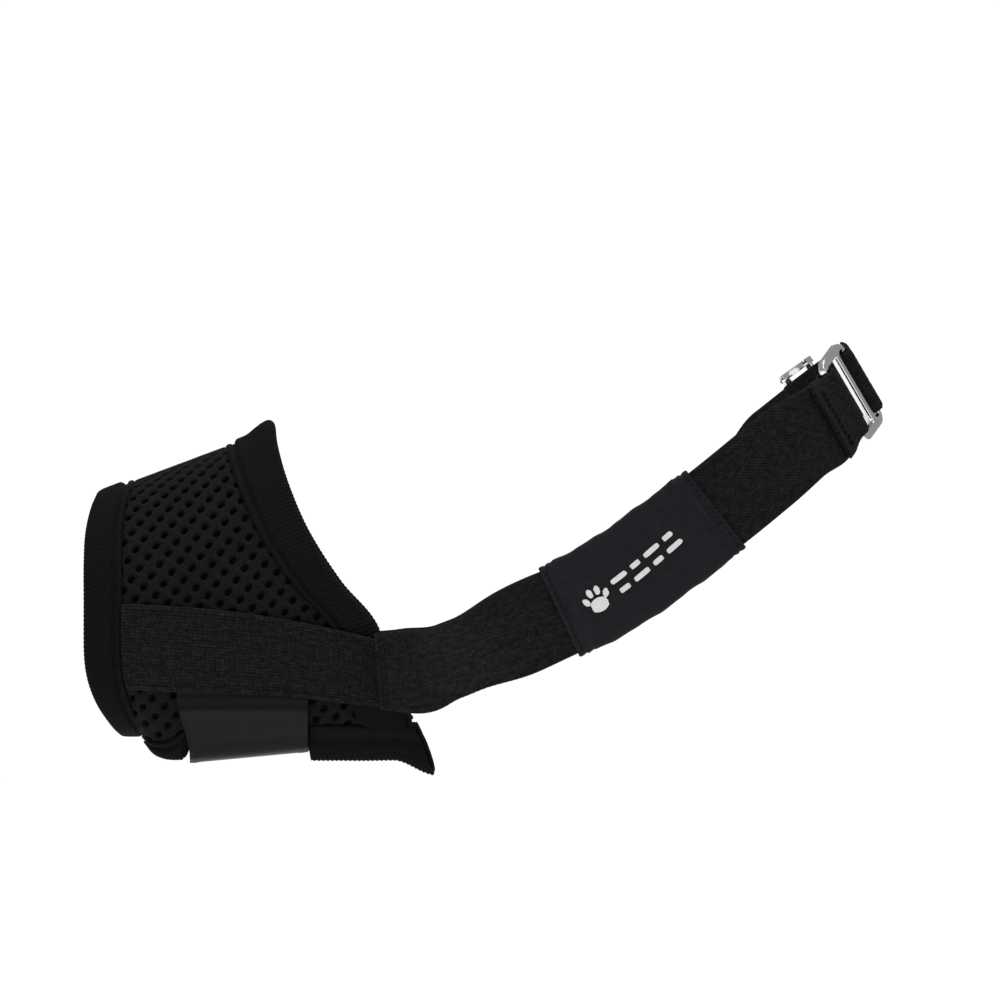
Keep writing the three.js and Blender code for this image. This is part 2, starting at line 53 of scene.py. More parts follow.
# ---- Driving dimensions ------------------------------------------------------
WEBBING_WIDTH, WEBBING_THICK = 25, 1.3
TAPE_OUTSIDE = 3.2       # how far a binding stands out from the section
FRONT_TAPE, REAR_TAPE = 10.9, 12.4
WIDEST_HEIGHT = -10
FRONT_DEPTH, BODY_DEPTH = 25, 52
UPPER_POWER, LOWER_POWER = 0.87, 0.85
BAND_FRONT, BAND_REAR, BAND_THICK, BAND_CORNER = -16.4, 20.2, 1.4, 7
BAND_FRONT_TOP, BAND_FRONT_BOTTOM, BAND_REAR_EDGE = -17.8, -14.2, 18.7
LOOP_TILT = math.radians(33)
LABEL_FRONT, LABEL_REAR = 88.5, 132.5
RING_THICK, RING_INSIDE, RING_RAIL = 2.2, 21.4, 2.6
RING_LEFT_BAR, RING_MIDDLE_BAR, RING_RIGHT_BAR, RING_MIDDLE_FROM_RIGHT = 2.6, 2.7, 1.8, 4.5
RING_NEAR = np.array([167.8, -22.5, 54.7])
RING_FAR = np.array([172.4, -10.2, 60.9])
NAPE_MIDDLE = np.array([172.8, 9.6, 62])
STRAIGHT_START = np.array([168, 20.5, 59.4])
STRAIGHT_END = np.array([148, 43, 43.4])
ADJUSTER_ALONG = 0.36
ADJUSTER_BAR, ADJUSTER_RAIL, ADJUSTER_HALF, ADJUSTER_INSIDE = 2.4, 1.8, 5, 22
RIB_PITCH = 1.25         # the tape's ribs
FLOAT_ROW, FLOAT_LONG = 0.98, 1.35    # the side webbing's floats
LAYER = 0.85             # each layer's distance from a doubled strap's middle
GATHERED_LEFT, GATHERED_RIGHT = 20.6, 19.4
SEAM_IN, SEAM_HEIGHT = 2.15, 2.72     # a binding's stitches: in from its edge, and their height
SETTLE = 14              # rounds in which a place on a slanted edge settles


# ---- Small helpers -------------------------------------------------------------
def smooth(value, low, high):
    t = np.clip((np.asarray(value, float) - low) / (high - low), 0, 1)
    return t * t * (3 - 2 * t)


def mix(a, b, t):
    return a + (b - a) * t


def signed_power(value, power):
    return np.sign(value) * np.abs(value) ** power


def unit(vectors):
    return vectors / np.linalg.norm(vectors, axis=-1, keepdims=True)


def square_to(vector, axis):
    """vector without its part along axis, at unit length."""
    return unit(vector - (vector @ axis) * axis)


# ---- The snout tunnel's surface --------------------------------------------------
def half_width(x):
    return 35.3 + 0.15 * x


def bridge_height(x):
    return 41.9 + 0.375 * x


def depth_at(x):
    return FRONT_DEPTH + (BODY_DEPTH - FRONT_DEPTH) * smooth(x, -31, -14) + 4 * smooth(x, 30, 55)


def front_depth(x):
    return FRONT_DEPTH + 0 * x


def section(x, angle, depth):
    """A point of the section at x. Angle 0 is the nose bridge, and +90 degrees is +Y."""
    cosine = np.cos(angle)
    upper = cosine > 0
    power = np.where(upper, UPPER_POWER, LOWER_POWER)
    rise = np.where(upper, bridge_height(x) - WIDEST_HEIGHT, depth)
    y = half_width(x) * signed_power(np.sin(angle), power)
    z = WIDEST_HEIGHT + rise * signed_power(cosine, power)
    return np.stack(np.broadcast_arrays(x, y, z), axis=-1)


def surface(x, angle, out=0.0, depth=depth_at):
    """The section point moved out along the surface's normal."""
    x, angle, out = np.broadcast_arrays(*(np.asarray(v, float) for v in (x, angle, out)))
    step, turn = 0.5, 0.01
    along = section(x + step, angle, depth(x + step)) - section(x - step, angle, depth(x - step))
    around = section(x, angle + turn, depth(x)) - section(x, angle - turn, depth(x))
    normal = unit(np.cross(around, along))
    point = section(x, angle, depth(x))
    inward = point - np.stack([x, 0 * x, 0 * x + WIDEST_HEIGHT], axis=-1)
    flip = np.sum(normal * inward, axis=-1, keepdims=True) < 0
    return point + np.where(flip, -normal, normal) * out[..., None]


def angle_at(x, z, depth=depth_at):
    """The angle, from 0 to 180 degrees, at which the section reaches height z."""
    upper = z > WIDEST_HEIGHT
    rise = np.where(upper, bridge_height(x) - WIDEST_HEIGHT, depth(x))
    power = np.where(upper, UPPER_POWER, LOWER_POWER)
    ratio = np.clip((z - WIDEST_HEIGHT) / rise, -1, 1)
    return np.arccos(signed_power(ratio, 1 / power))


def front_edge(angle):
    cosine = np.cos(angle)
    back = np.where(cosine > 0, 3.4 * np.abs(cosine) ** 6, 9 * np.abs(cosine) ** 2.4)
    return -43.6 + back


def ring_rear(angle):
    """The front tape's rear edge: the tape is a little narrower under the jaw."""
    return front_edge(angle) + FRONT_TAPE - 2.4 * np.maximum(0, -np.cos(angle)) ** 2


def ring_rear_at(x, z):
    return ring_rear(angle_at(x, z, front_depth))


def catmull(points, samples=60):
    """A centripetal curve through points, as a fine polyline."""
    pts = np.asarray(points, float)
    pts = np.vstack([2 * pts[0] - pts[1], pts, 2 * pts[-1] - pts[-2]])
    t = np.linspace(0, 1, samples, endpoint=False)[:, None]
    line = []
    for p0, p1, p2, p3 in zip(pts, pts[1:], pts[2:], pts[3:]):
        d0, d1, d2 = (max(math.sqrt(np.linalg.norm(b - a)), 1e-4) for a, b in ((p0, p1), (p1, p2), (p2, p3)))
        m1 = ((p1 - p0) / d0 - (p2 - p0) / (d0 + d1) + (p2 - p1) / d1) * d1
        m2 = ((p2 - p1) / d1 - (p3 - p1) / (d1 + d2) + (p3 - p2) / d2) * d1
        line.append(p1 + m1 * t + (3 * (p2 - p1) - 2 * m1 - m2) * t**2 + (2 * (p1 - p2) + m1 + m2) * t**3)
    return np.vstack([*line, pts[-2]])


def lengths_along(line):
    return np.concatenate([[0], np.cumsum(np.linalg.norm(np.diff(line, axis=0), axis=1))])


def evenly(line, step):
    """The line again, with points at even steps close to step."""
    along = lengths_along(line)
    places = np.linspace(0, along[-1], max(2, round(along[-1] / step) + 1))
    return np.stack([np.interp(places, along, line[:, k]) for k in range(3)], axis=-1)


REAR_EDGE = catmull([
    (0, 8.6, 0), (25, 9.8, 0), (48, 13.6, 0), (65, 19.2, 0), (79, 27.8, 0), (90, 38.9, 0),
    (103, 43.6, 0), (113, 48.8, 0), (120, 51.6, 0), (131, 54.6, 0),
])


def rear_edge(angle):
    return np.interp(np.abs(np.degrees(angle)), REAR_EDGE[:, 0], REAR_EDGE[:, 1])


def band_bottom(x):
    return -44.1 + 0.086 * x


def squeeze(x):
    """How far the chin band presses the lower tapes in, from 0 to 1."""
    return smooth(x, -15.9, -14.3) * (1 - smooth(x, 18.7, 19.9))


def lower_edge(x):
    corner = 8 * (np.maximum(0, -17 - x) / 10.8) ** 2.2
    return mix(-44 + corner - 4 * smooth(x, 43, 54.5), band_bottom(x) + 4.6, squeeze(x))


def lower_tape_top(x):
    return mix(-38.7, -34.2, smooth(x, -20, -12))


def strap_top(x):
    return -3.6 - 0.12 * x - 0.0018 * x * x


def strap_bottom(x):
    return -25.6 - 0.045 * x - 0.0009 * x * x + 2.2 * smooth(-x, 18, 33)


# ---- Making meshes -----------------------------------------------------------------
def quads(rows, columns, rows_close=False, columns_close=False):
    r = np.arange(rows if rows_close else rows - 1)[:, None]
    c = np.arange(columns if columns_close else columns - 1)[None, :]
    r2, c2 = (r + 1) % rows, (c + 1) % columns
    faces = [r * columns + c, r * columns + c2, r2 * columns + c2, r2 * columns + c]
    return np.stack(np.broadcast_arrays(*faces), axis=-1).reshape(-1, 4)


def end_quads(rows, columns):
    """Closes both ends of a tube whose rows go out along one side and back along the other."""
    last, half = (rows - 1) * columns, columns // 2
    faces = []
    for k in range(half - 1):
        j = columns - 1 - k
        faces.append((k, j, j - 1, k + 1))
        faces.append((last + k, last + k + 1, last + j - 1, last + j))
    return np.array(faces)


def facing_out(points, faces):
    a, b, c, d = (points[faces[:, k]] for k in range(4))
    volume = np.sum(a * np.cross(b, c)) + np.sum(a * np.cross(c, d))
    return faces if volume > 0 else faces[:, ::-1]


def link_piece(name, mesh, material):
    mesh.materials.append(material)
    piece = bpy.data.objects.new(name, mesh)
    bpy.context.scene.collection.objects.link(piece)
    return piece


def without_repeats(face):
    """A face's corners, each one once: some end faces have two corners at one place."""
    return tuple(dict.fromkeys(face))


def add_mesh(name, points, faces, material, uv=None, sharp=40):
    """A closed mesh from points in millimetres, with its faces pointing out."""
    points = np.asarray(points, float).reshape(-1, 3)
    faces = facing_out(points, np.asarray(faces))
    mesh = bpy.data.meshes.new(name)
    mesh.from_pydata((points * MM).tolist(), [], [without_repeats(face) for face in faces.tolist()])
    if uv is not None:
        corner = np.empty(len(mesh.loops), dtype=np.int32)
        mesh.loops.foreach_get("vertex_index", corner)
        layer = mesh.uv_layers.new(name="cloth")
        layer.uv.foreach_set("vector", (np.asarray(uv).reshape(-1, 2)[corner] * MM).ravel())
    mesh.shade_smooth()
    mesh.set_sharp_from_angle(angle=math.radians(sharp))
    return link_piece(name, mesh, material)


def deselect():
    if bpy.context.object and bpy.context.object.mode != "OBJECT":
        bpy.ops.object.mode_set(mode="OBJECT")
    bpy.ops.object.select_all(action="DESELECT")


def pick_only(piece):
    deselect()
    piece.select_set(True)
    bpy.context.view_layer.objects.active = piece


def turn_faces_out(piece):
    pick_only(piece)
    bpy.ops.object.mode_set(mode="EDIT")
    bpy.ops.mesh.select_all(action="SELECT")
    bpy.ops.mesh.normals_make_consistent(inside=False)
    bpy.ops.object.mode_set(mode="OBJECT")


def place_piece(piece, body=None, stands_for=(), bend=None):
    """Rides the piece on its body; given a bend, it only bakes the piece's place into its mesh, on no body,
    and the bend's bodies and points are not used.
    """
    if stands_for:
        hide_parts(*stands_for)
    if bend:
        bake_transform(piece)
    else:
        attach(piece, body)
    return piece


# ---- Materials -----------------------------------------------------------------------
class Nodes:
    """A node tree with short calls for what the finishes use."""

    def __init__(self, tree):
        self.tree = tree
        self.links = tree.links

    def add(self, kind, **values):
        node = self.tree.nodes.new(kind)
        for name, value in values.items():
            setattr(node, name, value)
        return node

    def math(self, operation, a, b=None):
        node = self.add("ShaderNodeMath", operation=operation)
        for socket, value in zip(node.inputs, (a, b)):
            self.feed(socket, value)
        return node.outputs[0]

    def feed(self, socket, value):
        if value is None:
            return
        if isinstance(value, bpy.types.NodeSocket):
            self.links.new(value, socket)
        else:
            socket.default_value = value

    def noise(self, vector, scale, detail=2.0, roughness=0.55):
        node = self.add("ShaderNodeTexNoise")
        self.feed(node.inputs["Vector"], vector)
        self.feed(node.inputs["Scale"], scale)
        node.inputs["Detail"].default_value = detail
        node.inputs["Roughness"].default_value = roughness
        return node.outputs["Fac"]

    def ramp(self, value, stops):
        node = self.add("ShaderNodeValToRGB")
        self.feed(node.inputs[0], value)
        elements = node.color_ramp.elements
        while len(elements) < len(stops):
            elements.new(0.5)
        for element, (at, level) in zip(elements, stops):
            element.position = at
            element.color = (level, level, level, 1)
        return node.outputs[0]

    def blend(self, factor, a, b, mode="MIX"):
        node = self.add("ShaderNodeMix", data_type="RGBA", blend_type=mode)
        self.feed(node.inputs["Factor"], factor)
        self.feed(node.inputs["A"], a)
        self.feed(node.inputs["B"], b)
        return node.outputs["Result"]


def new_group(name, inputs, outputs):
    tree = bpy.data.node_groups.new(name, "ShaderNodeTree")
    for label, kind, value in inputs:
        socket = tree.interface.new_socket(label, in_out="INPUT", socket_type=kind)
        if value is not None:
            socket.default_value = value
    for label, kind in outputs:
        tree.interface.new_socket(label, in_out="OUTPUT", socket_type=kind)
    nodes = Nodes(tree)
    return nodes, nodes.add("NodeGroupInput"), nodes.add("NodeGroupOutput")


def yarn_fuzz_group():
    """Loose fibres, lint and slow changes of tone that every cloth here has."""
    nodes, given, result = new_group(
        "yarn_fuzz",
        [("Vector", "NodeSocketVector", None), ("Tone", "NodeSocketColor", (0.02, 0.02, 0.02, 1)),
         ("Light", "NodeSocketColor", (0.05, 0.05, 0.05, 1)), ("Fibre", "NodeSocketFloat", 900.0),
         ("Lint", "NodeSocketFloat", 0.3)],
        [("Color", "NodeSocketColor"), ("Height", "NodeSocketFloat"), ("Roughness", "NodeSocketFloat")],
    )
    fibre = nodes.noise(given.outputs["Vector"], given.outputs["Fibre"], 3, 0.7)
    cloud = nodes.noise(given.outputs["Vector"], 55.0, 3, 0.6)
    specks = nodes.ramp(nodes.noise(given.outputs["Vector"], 1500.0, 1), [(0.62, 0), (0.78, 1)])
    worn = nodes.ramp(fibre, [(0.3, 0), (0.72, 1)])
    tone = nodes.blend(worn, given.outputs["Tone"], given.outputs["Light"])
    shade = nodes.math("ADD", 0.72, nodes.math("MULTIPLY", cloud, 0.56))
    toned = nodes.blend(1.0, tone, nodes.ramp(shade, [(0.0, 0), (1.0, 1)]), "MULTIPLY")
    lint = nodes.math("MULTIPLY", specks, given.outputs["Lint"])
    nodes.feed(result.inputs["Color"], nodes.blend(lint, toned, given.outputs["Light"], "ADD"))
    nodes.feed(result.inputs["Height"], fibre)
    nodes.feed(result.inputs["Roughness"], nodes.math("ADD", 0.78, nodes.math("MULTIPLY", fibre, 0.2)))
    return nodes.tree


YARN_FUZZ = yarn_fuzz_group()


def cloth_material(
    name, tone, light, fibre=900.0, lint=0.3, bump=0.25, sheen=0.02, weave=None, roughness=None, shine=0.12,
):
    """A cloth finish. weave(nodes) may give the threads' height and tone."""
    material = bpy.data.materials.new(name)
    material.use_nodes = True
    nodes = Nodes(material.node_tree)
    shader = material.node_tree.nodes["Principled BSDF"]
    coordinates = nodes.add("ShaderNodeTexCoord").outputs["Object"]
    fuzz = nodes.add("ShaderNodeGroup")
    fuzz.node_tree = YARN_FUZZ
    nodes.feed(fuzz.inputs["Vector"], coordinates)
    fuzz.inputs["Tone"].default_value = (*tone, 1)
    fuzz.inputs["Light"].default_value = (*light, 1)
    fuzz.inputs["Fibre"].default_value = fibre
    fuzz.inputs["Lint"].default_value = lint
    colour, height = fuzz.outputs["Color"], fuzz.outputs["Height"]
    if weave:
        thread_height, thread_tone = weave(nodes)
        height = nodes.math("ADD", nodes.math("MULTIPLY", height, 0.45), thread_height)
        colour = nodes.blend(1.0, colour, thread_tone, "MULTIPLY")
    nodes.feed(shader.inputs["Base Color"], colour)
    if roughness is None:
        nodes.feed(shader.inputs["Roughness"], fuzz.outputs["Roughness"])
    else:
        vary = nodes.math("MULTIPLY", fuzz.outputs["Height"], 0.15)
        nodes.feed(shader.inputs["Roughness"], nodes.math("ADD", vary, roughness))
    shader.inputs["Specular IOR Level"].default_value = shine
    shader.inputs["Sheen Weight"].default_value = sheen
    shader.inputs["Sheen Roughness"].default_value = 0.45
    shader.inputs["Sheen Tint"].default_value = (0.8, 0.8, 0.9, 1)
    bumps = nodes.add("ShaderNodeBump")
    bumps.inputs["Strength"].default_value = bump
    bumps.inputs["Distance"].default_value = 0.0003
    nodes.feed(bumps.inputs["Height"], height)
    nodes.feed(shader.inputs["Normal"], bumps.outputs["Normal"])
    return material


def cloth_uv(nodes):
    """The piece's own map: x along the cloth and y across it, in metres."""
    parts = nodes.add("ShaderNodeSeparateXYZ")
    uv = nodes.add("ShaderNodeUVMap", uv_map="cloth")
    nodes.feed(parts.inputs[0], uv.outputs[0])
    return parts.outputs[0], parts.outputs[1]


def plain_threads(pitch_along, pitch_across, depth=0.45):
    """Over and under threads, for webbing, tape and satin, with painted shade on the lower threads."""
    def weave(nodes):
        along, across = cloth_uv(nodes)
        u = nodes.math("SINE", nodes.math("MULTIPLY", along, 2 * math.pi / (pitch_along * MM)))
        v = nodes.math("SINE", nodes.math("MULTIPLY", across, 2 * math.pi / (pitch_across * MM)))
        height = nodes.math("MULTIPLY", nodes.math("MULTIPLY", u, v), 0.5)
        # Painted shade: the lower a thread lies, the darker its colour, down to 1 - depth at the lowest.
        thread_shade = nodes.math("ADD", nodes.math("MULTIPLY", height, depth), 1 - depth / 2)
        return nodes.math("ADD", height, 0.5), nodes.ramp(thread_shade, [(0.0, 0), (1.0, 1)])
    return weave


def rib_threads(nodes):
    """The tape's ribs, with painted shade darkening the valleys between them."""
    along, _ = cloth_uv(nodes)
    turn = nodes.math("MULTIPLY", along, math.pi / (RIB_PITCH * MM))
    rib = nodes.math("ABSOLUTE", nodes.math("SINE", turn))
    # The ramp is painted shade: a valley's colour falls to 0.58 of a crest's.
    return rib, nodes.ramp(rib, [(0.0, 0.58), (0.75, 1.0)])


def fold_threads(nodes, along, across):
    """Ribs that slant one way, then the other, in columns along the strap."""
    columns = nodes.math("PINGPONG", across, 4.2 * MM)
    slant = nodes.math("ADD", along, nodes.math("MULTIPLY", columns, 1.25))
    return nodes.math("ABSOLUTE", nodes.math("SINE", nodes.math("MULTIPLY", slant, math.pi / (1.3 * MM))))


def float_threads(nodes, along, across):
    """Short floats in rows, each row half a float on from the last."""
    row = nodes.math("FLOOR", nodes.math("DIVIDE", across, FLOAT_ROW * MM))
    wander = nodes.math("MULTIPLY", nodes.math("SINE", nodes.math("MULTIPLY", row, 2.7)), 0.35)
    turn = nodes.math("ADD", nodes.math("DIVIDE", along, FLOAT_LONG * MM), nodes.math("MULTIPLY", row, 0.5))
    turn = nodes.math("ADD", turn, wander)
    floats = nodes.math("COSINE", nodes.math("MULTIPLY", turn, 2 * math.pi))
    rows = nodes.math("MULTIPLY", across, math.pi / (FLOAT_ROW * MM))
    tall = nodes.math("ABSOLUTE", nodes.math("SINE", rows))
    return nodes.math("MULTIPLY", tall, nodes.math("ADD", nodes.math("MULTIPLY", floats, 0.35), 0.65))


def webbing_threads(pattern):
    """A webbing's own threads, with some of them worn paler and some rows darker, and painted shade in the
    low places between the raised threads.
    """
    def weave(nodes):
        along, across = cloth_uv(nodes)
        height = pattern(nodes, along, across)
        place = nodes.add("ShaderNodeCombineXYZ")
        nodes.feed(place.inputs[0], nodes.math("MULTIPLY", along, 0.45))
        nodes.feed(place.inputs[1], across)
        worn = nodes.ramp(nodes.noise(place.outputs[0], 900.0, 2, 0.6), [(0.34, 0.3), (0.68, 1.0)])
        # Painted shade: the low places between the raised threads are coloured darker, down to half.
        tone = nodes.ramp(height, [(0.1, 0.5), (0.9, 1.0)])
        return height, nodes.blend(1.0, tone, worn, "MULTIPLY")
    return weave


def metal_material():
    material = bpy.data.materials.new("bright_plate")
    material.use_nodes = True
    nodes = Nodes(material.node_tree)
    shader = material.node_tree.nodes["Principled BSDF"]
    coordinates = nodes.add("ShaderNodeTexCoord").outputs["Object"]
    smudge = nodes.noise(coordinates, 130.0, 4, 0.6)
    scratch = nodes.noise(coordinates, 2400.0, 2, 0.5)
    tone = nodes.ramp(smudge, [(0.25, 0.74), (0.75, 0.86)])
    nodes.feed(shader.inputs["Base Color"], tone)
    rough = nodes.math("ADD", 0.05, nodes.math("MULTIPLY", smudge, 0.12))
    nodes.feed(shader.inputs["Roughness"], rough)
    shader.inputs["Metallic"].default_value = 1.0
    bumps = nodes.add("ShaderNodeBump")
    bumps.inputs["Strength"].default_value = 0.04
    bumps.inputs["Distance"].default_value = 0.0001
    nodes.feed(bumps.inputs["Height"], nodes.math("ADD", smudge, scratch))
    nodes.feed(shader.inputs["Normal"], bumps.outputs["Normal"])
    return material


air_mesh = cloth_material(
    "air_mesh_knit", (0.0035, 0.0035, 0.0039), (0.0125, 0.0125, 0.0136), 1500, 0.15, 0.45, 0.0,
    shine=0.08,
)
# The lining's tone is darker than the outer knit's: partly the knit's own dark colour, partly painted shade
# for the depths of the pores.
lining = cloth_material("lining_knit_painted_shade", (0.002, 0.002, 0.0022), (0.005, 0.005, 0.0055), 1500, 0.03, 0.2, 0.0)
tape = cloth_material(
    "binding_tape", (0.0034, 0.0034, 0.0039), (0.0085, 0.0085, 0.0096), 1200, 0.1, 0.25, 0.0,
    rib_threads, shine=0.07,
)
facing_cloth = cloth_material(
    "facing_cloth", (0.0034, 0.0034, 0.0039), (0.0085, 0.0085, 0.0096), 1200, 0.1, 0.25, 0.0,
    plain_threads(0.7, 0.7, 0.2), shine=0.07,
)
webbing = cloth_material(
    "neck_webbing_cloth", (0.0075, 0.0072, 0.0088), (0.027, 0.026, 0.031), 1300, 0.45, 0.5, 0.01,
    webbing_threads(fold_threads),
)
flank_webbing = cloth_material(
    "side_webbing_cloth", (0.007, 0.007, 0.0078), (0.031, 0.031, 0.0335), 1100, 0.6, 0.6, 0.01,
    webbing_threads(float_threads),
)
elastic = cloth_material(
    "satin_elastic", (0.003, 0.003, 0.0038), (0.0048, 0.0048, 0.0062), 500, 0.02, 0.1, 0.0,
    plain_threads(0.6, 0.6, 0.15), 0.24, 0.12,
)
satin = cloth_material(
    "label_satin", (0.0058, 0.0056, 0.0082), (0.0118, 0.0114, 0.0158), 500, 0.03, 0.2, 0.02,
    plain_threads(0.8, 0.5, 0.25), 0.5, 0.14,
)
thread = cloth_material(
    "sewing_thread", (0.0035, 0.0035, 0.004), (0.011, 0.011, 0.012), 2500, 0.1, 0.3, 0.0, shine=0.08,
)
print_ink = cloth_material(
    "print_ink", (0.72, 0.72, 0.72), (0.82, 0.82, 0.82), 700, 0.0, 0.15, 0.0, roughness=0.5,
)
bright_plate = metal_material()


# ---- Threads ---------------------------------------------------------------------------
def stitch_row(name, line, outward, length=2.3, pitch=3.0, radius=0.24):
    """A row of stitches lying on a seam: each one dips into the cloth at both ends."""
    along = lengths_along(line)
    count = int(along[-1] // pitch)
    sides, rings = 6, 7
    t = np.linspace(-0.5, 0.5, rings)[:, None]
    swell = np.sqrt(np.clip(1 - np.abs(2 * t) ** 3, 0.04, 1))
    turn = np.arange(sides)[None, :] * (2 * math.pi / sides)
    points, faces = [], []
    body = quads(rings, sides, columns_close=True)
    for k in range(count):
        at = (k + 0.5) * pitch
        middle = np.array([np.interp(at, along, line[:, j]) for j in range(3)])
        ahead = np.array([np.interp(at + 0.2, along, line[:, j]) for j in range(3)])
        forward = unit(ahead - middle)
        up = unit(np.array([np.interp(at, along, outward[:, j]) for j in range(3)]))
        side = unit(np.cross(forward, up))
        height = radius * swell * np.sin(turn) - 0.5 * radius * np.abs(2 * t) ** 3
        ring = (
            middle + (t * length)[..., None] * forward
            + (radius * swell * np.cos(turn))[..., None] * side + height[..., None] * up
        )
        base = k * (rings * sides + 2)
        tips = [middle - forward * (length / 2 + 0.05) - up * radius * 0.5,
                middle + forward * (length / 2 + 0.05) - up * radius * 0.5]
        points.append(np.vstack([ring.reshape(-1, 3), tips]))
        faces.append(body + base)
        end = (rings - 1) * sides
        for j in range(sides):
            jn = (j + 1) % sides
            faces.append(np.array([[base + rings * sides] * 2 + [base + jn, base + j]]))
            faces.append(np.array([[base + rings * sides + 1] * 2 + [base + end + j, base + end + jn]]))
    return np.vstack(points), np.vstack(faces)


def add_stitches(name, rows, body, bend=None, stands_for=(), **sizes):
    """One piece that holds all the rows of a seam. A row is (line, outward)."""
    points, faces, offset = [], [], 0
    for line, outward in rows:
        row_points, row_faces = stitch_row(name, line, outward, **sizes)
        points.append(row_points)
        faces.extend(without_repeats(face) for face in (row_faces + offset).tolist())
        offset += len(row_points)
    mesh = bpy.data.meshes.new(name)
    mesh.from_pydata((np.vstack(points) * MM).tolist(), [], faces)
    mesh.shade_smooth()
    piece = link_piece(name, mesh, thread)
    turn_faces_out(piece)
    return place_piece(piece, body, stands_for, bend)


# ---- Air mesh panel ----------------------------------------------------------------------
PORE_STEP_A = np.array([3.35, 2.1])      # from pore to pore along X and down round the flank
PORE_STEP_B = np.array([2.3, -3.4])
PORE_ACROSS, PORE_LONG = 0.215, 0.295    # half sizes of a pore, in steps
PORE_RINGS = [(1.5, 2.42), (1.16, 2.2), (1.0, 1.75), (0.94, 0.95)]   # (size, height)
KNIT_BACK = 0.8

PANEL_SPREAD = 0.48      # how far the flanks' arcs run on for each step along X


def round_from_bridge(x, down):
    """The distance round the section for a lattice place: the cloth spreads as the tunnel widens."""
    return -(down + PANEL_SPREAD * np.tanh(down / 25) * x)


ARC_X = np.arange(-48, 62, 1.0)
ARC_ANGLE = np.linspace(0, math.radians(172), 240)


def arc_lengths(x):
    line = surface(np.full_like(ARC_ANGLE, x), ARC_ANGLE, 1.5)
    return lengths_along(line)


ARC_TABLE = np.array([arc_lengths(x) for x in ARC_X])


def angle_round(x, distance):
    """The signed angle at a signed distance round the section from the bridge."""
    place = np.clip(x - ARC_X[0], 0, len(ARC_X) - 1.001)
    row = place.astype(int)
    share = place - row
    size = np.abs(distance)
    angles = [
        mix(np.interp(d, ARC_TABLE[r], ARC_ANGLE), np.interp(d, ARC_TABLE[r + 1], ARC_ANGLE), s)
        for d, r, s in zip(size, row, share)
    ]
    return np.sign(distance) * np.array(angles)


def tucked(x, angle):
    """From 0 in the open to 1 where a tape presses the knit flat."""
    z = section(x, angle, depth_at(x))[..., 2]
    front = smooth(ring_rear_at(x, z) + 0.5 - x, 0, 1.6)
    rear = smooth(x - rear_edge(angle) + REAR_TAPE + 0.5, 0, 1.6)
    low = smooth(lower_tape_top(x) + 0.5 - z, 0, 1.6)
    return np.maximum(np.maximum(front, rear), low)


def in_panel(x, angle):
    """Whether the knit reaches this place, edges under the tapes included."""
    z = section(x, angle, depth_at(x))[..., 2]
    cover = mix(8.0, 5.5, smooth(-z, 14, 22))
    front = x > ring_rear_at(x, z) - cover
    rear = x < rear_edge(angle) - 3.6
    low = np.where(x > -26.5, lower_edge(x) + 1.2, -41)
    return front & rear & (z > low) & (np.abs(angle) < math.radians(168))


def knit_skin():
    """The outer knit: a lattice of oval pores cut right through a thick open sheet."""
    reach = range(-60, 61)
    cells = np.array([(i, j) for i in reach for j in reach], float)
    centre = cells @ np.array([PORE_STEP_A, PORE_STEP_B])
    inside = (centre[:, 0] > -46) & (centre[:, 0] < 56) & (np.abs(centre[:, 1]) < 120)
    cells = cells[inside]
    keep = np.ones(len(cells), bool)
    for corner in ((-0.5, -0.5), (0.5, -0.5), (0.5, 0.5), (-0.5, 0.5)):
        place = (cells + corner) @ np.array([PORE_STEP_A, PORE_STEP_B])
        keep &= in_panel(place[:, 0], angle_round(place[:, 0], round_from_bridge(place[:, 0], place[:, 1])))
    cells = cells[keep]
    turn = np.radians(45 + 30 * np.arange(12))
    circle = np.stack([np.cos(turn), np.sin(turn)], axis=-1)
    outline = circle * (0.5 / np.abs(circle).max(axis=1, keepdims=True))
    pore = circle * (PORE_ACROSS, PORE_LONG)
    points, faces, shared, edges = [], [], {}, {}

    def corner_index(place, height):
        key = (round(place[0] * 1000), round(place[1] * 1000), height)
        if key not in shared:
            shared[key] = len(points)
            points.append((*place, height))
        return shared[key]

    for cell in cells:
        rim = [corner_index(cell + p, 2.5) for p in outline]
        back = [corner_index(cell + p, KNIT_BACK) for p in outline]
        rings = [rim]
        for size, height in PORE_RINGS:
            start = len(points)
            points.extend((*(cell + p * size), height) for p in pore)
            rings.append(list(range(start, start + 12)))
        rings.append(back)
        for upper, lower in zip(rings, rings[1:]):
            faces.extend((upper[k], upper[(k + 1) % 12], lower[(k + 1) % 12], lower[k]) for k in range(12))
        for k in range(12):
            a, b = rim[k], rim[(k + 1) % 12]
            wall = (b, a, back[k], back[(k + 1) % 12])
            if (b, a) in edges:
                del edges[(b, a)]
            else:
                edges[(a, b)] = wall
    faces.extend(edges.values())
    points = np.array(points)
    flat = points[:, :2] @ np.array([PORE_STEP_A, PORE_STEP_B])
    angle = angle_round(flat[:, 0], round_from_bridge(flat[:, 0], flat[:, 1]))
    under = tucked(flat[:, 0], angle)
    height = mix(points[:, 2], KNIT_BACK + (points[:, 2] - KNIT_BACK) * 0.3, under)
    placed = surface(flat[:, 0], angle, height)
    piece = add_mesh("air_mesh_outer", placed, faces, air_mesh, flat, sharp=75)
    place_piece(piece, "muzzle", ["mesh_panel"])


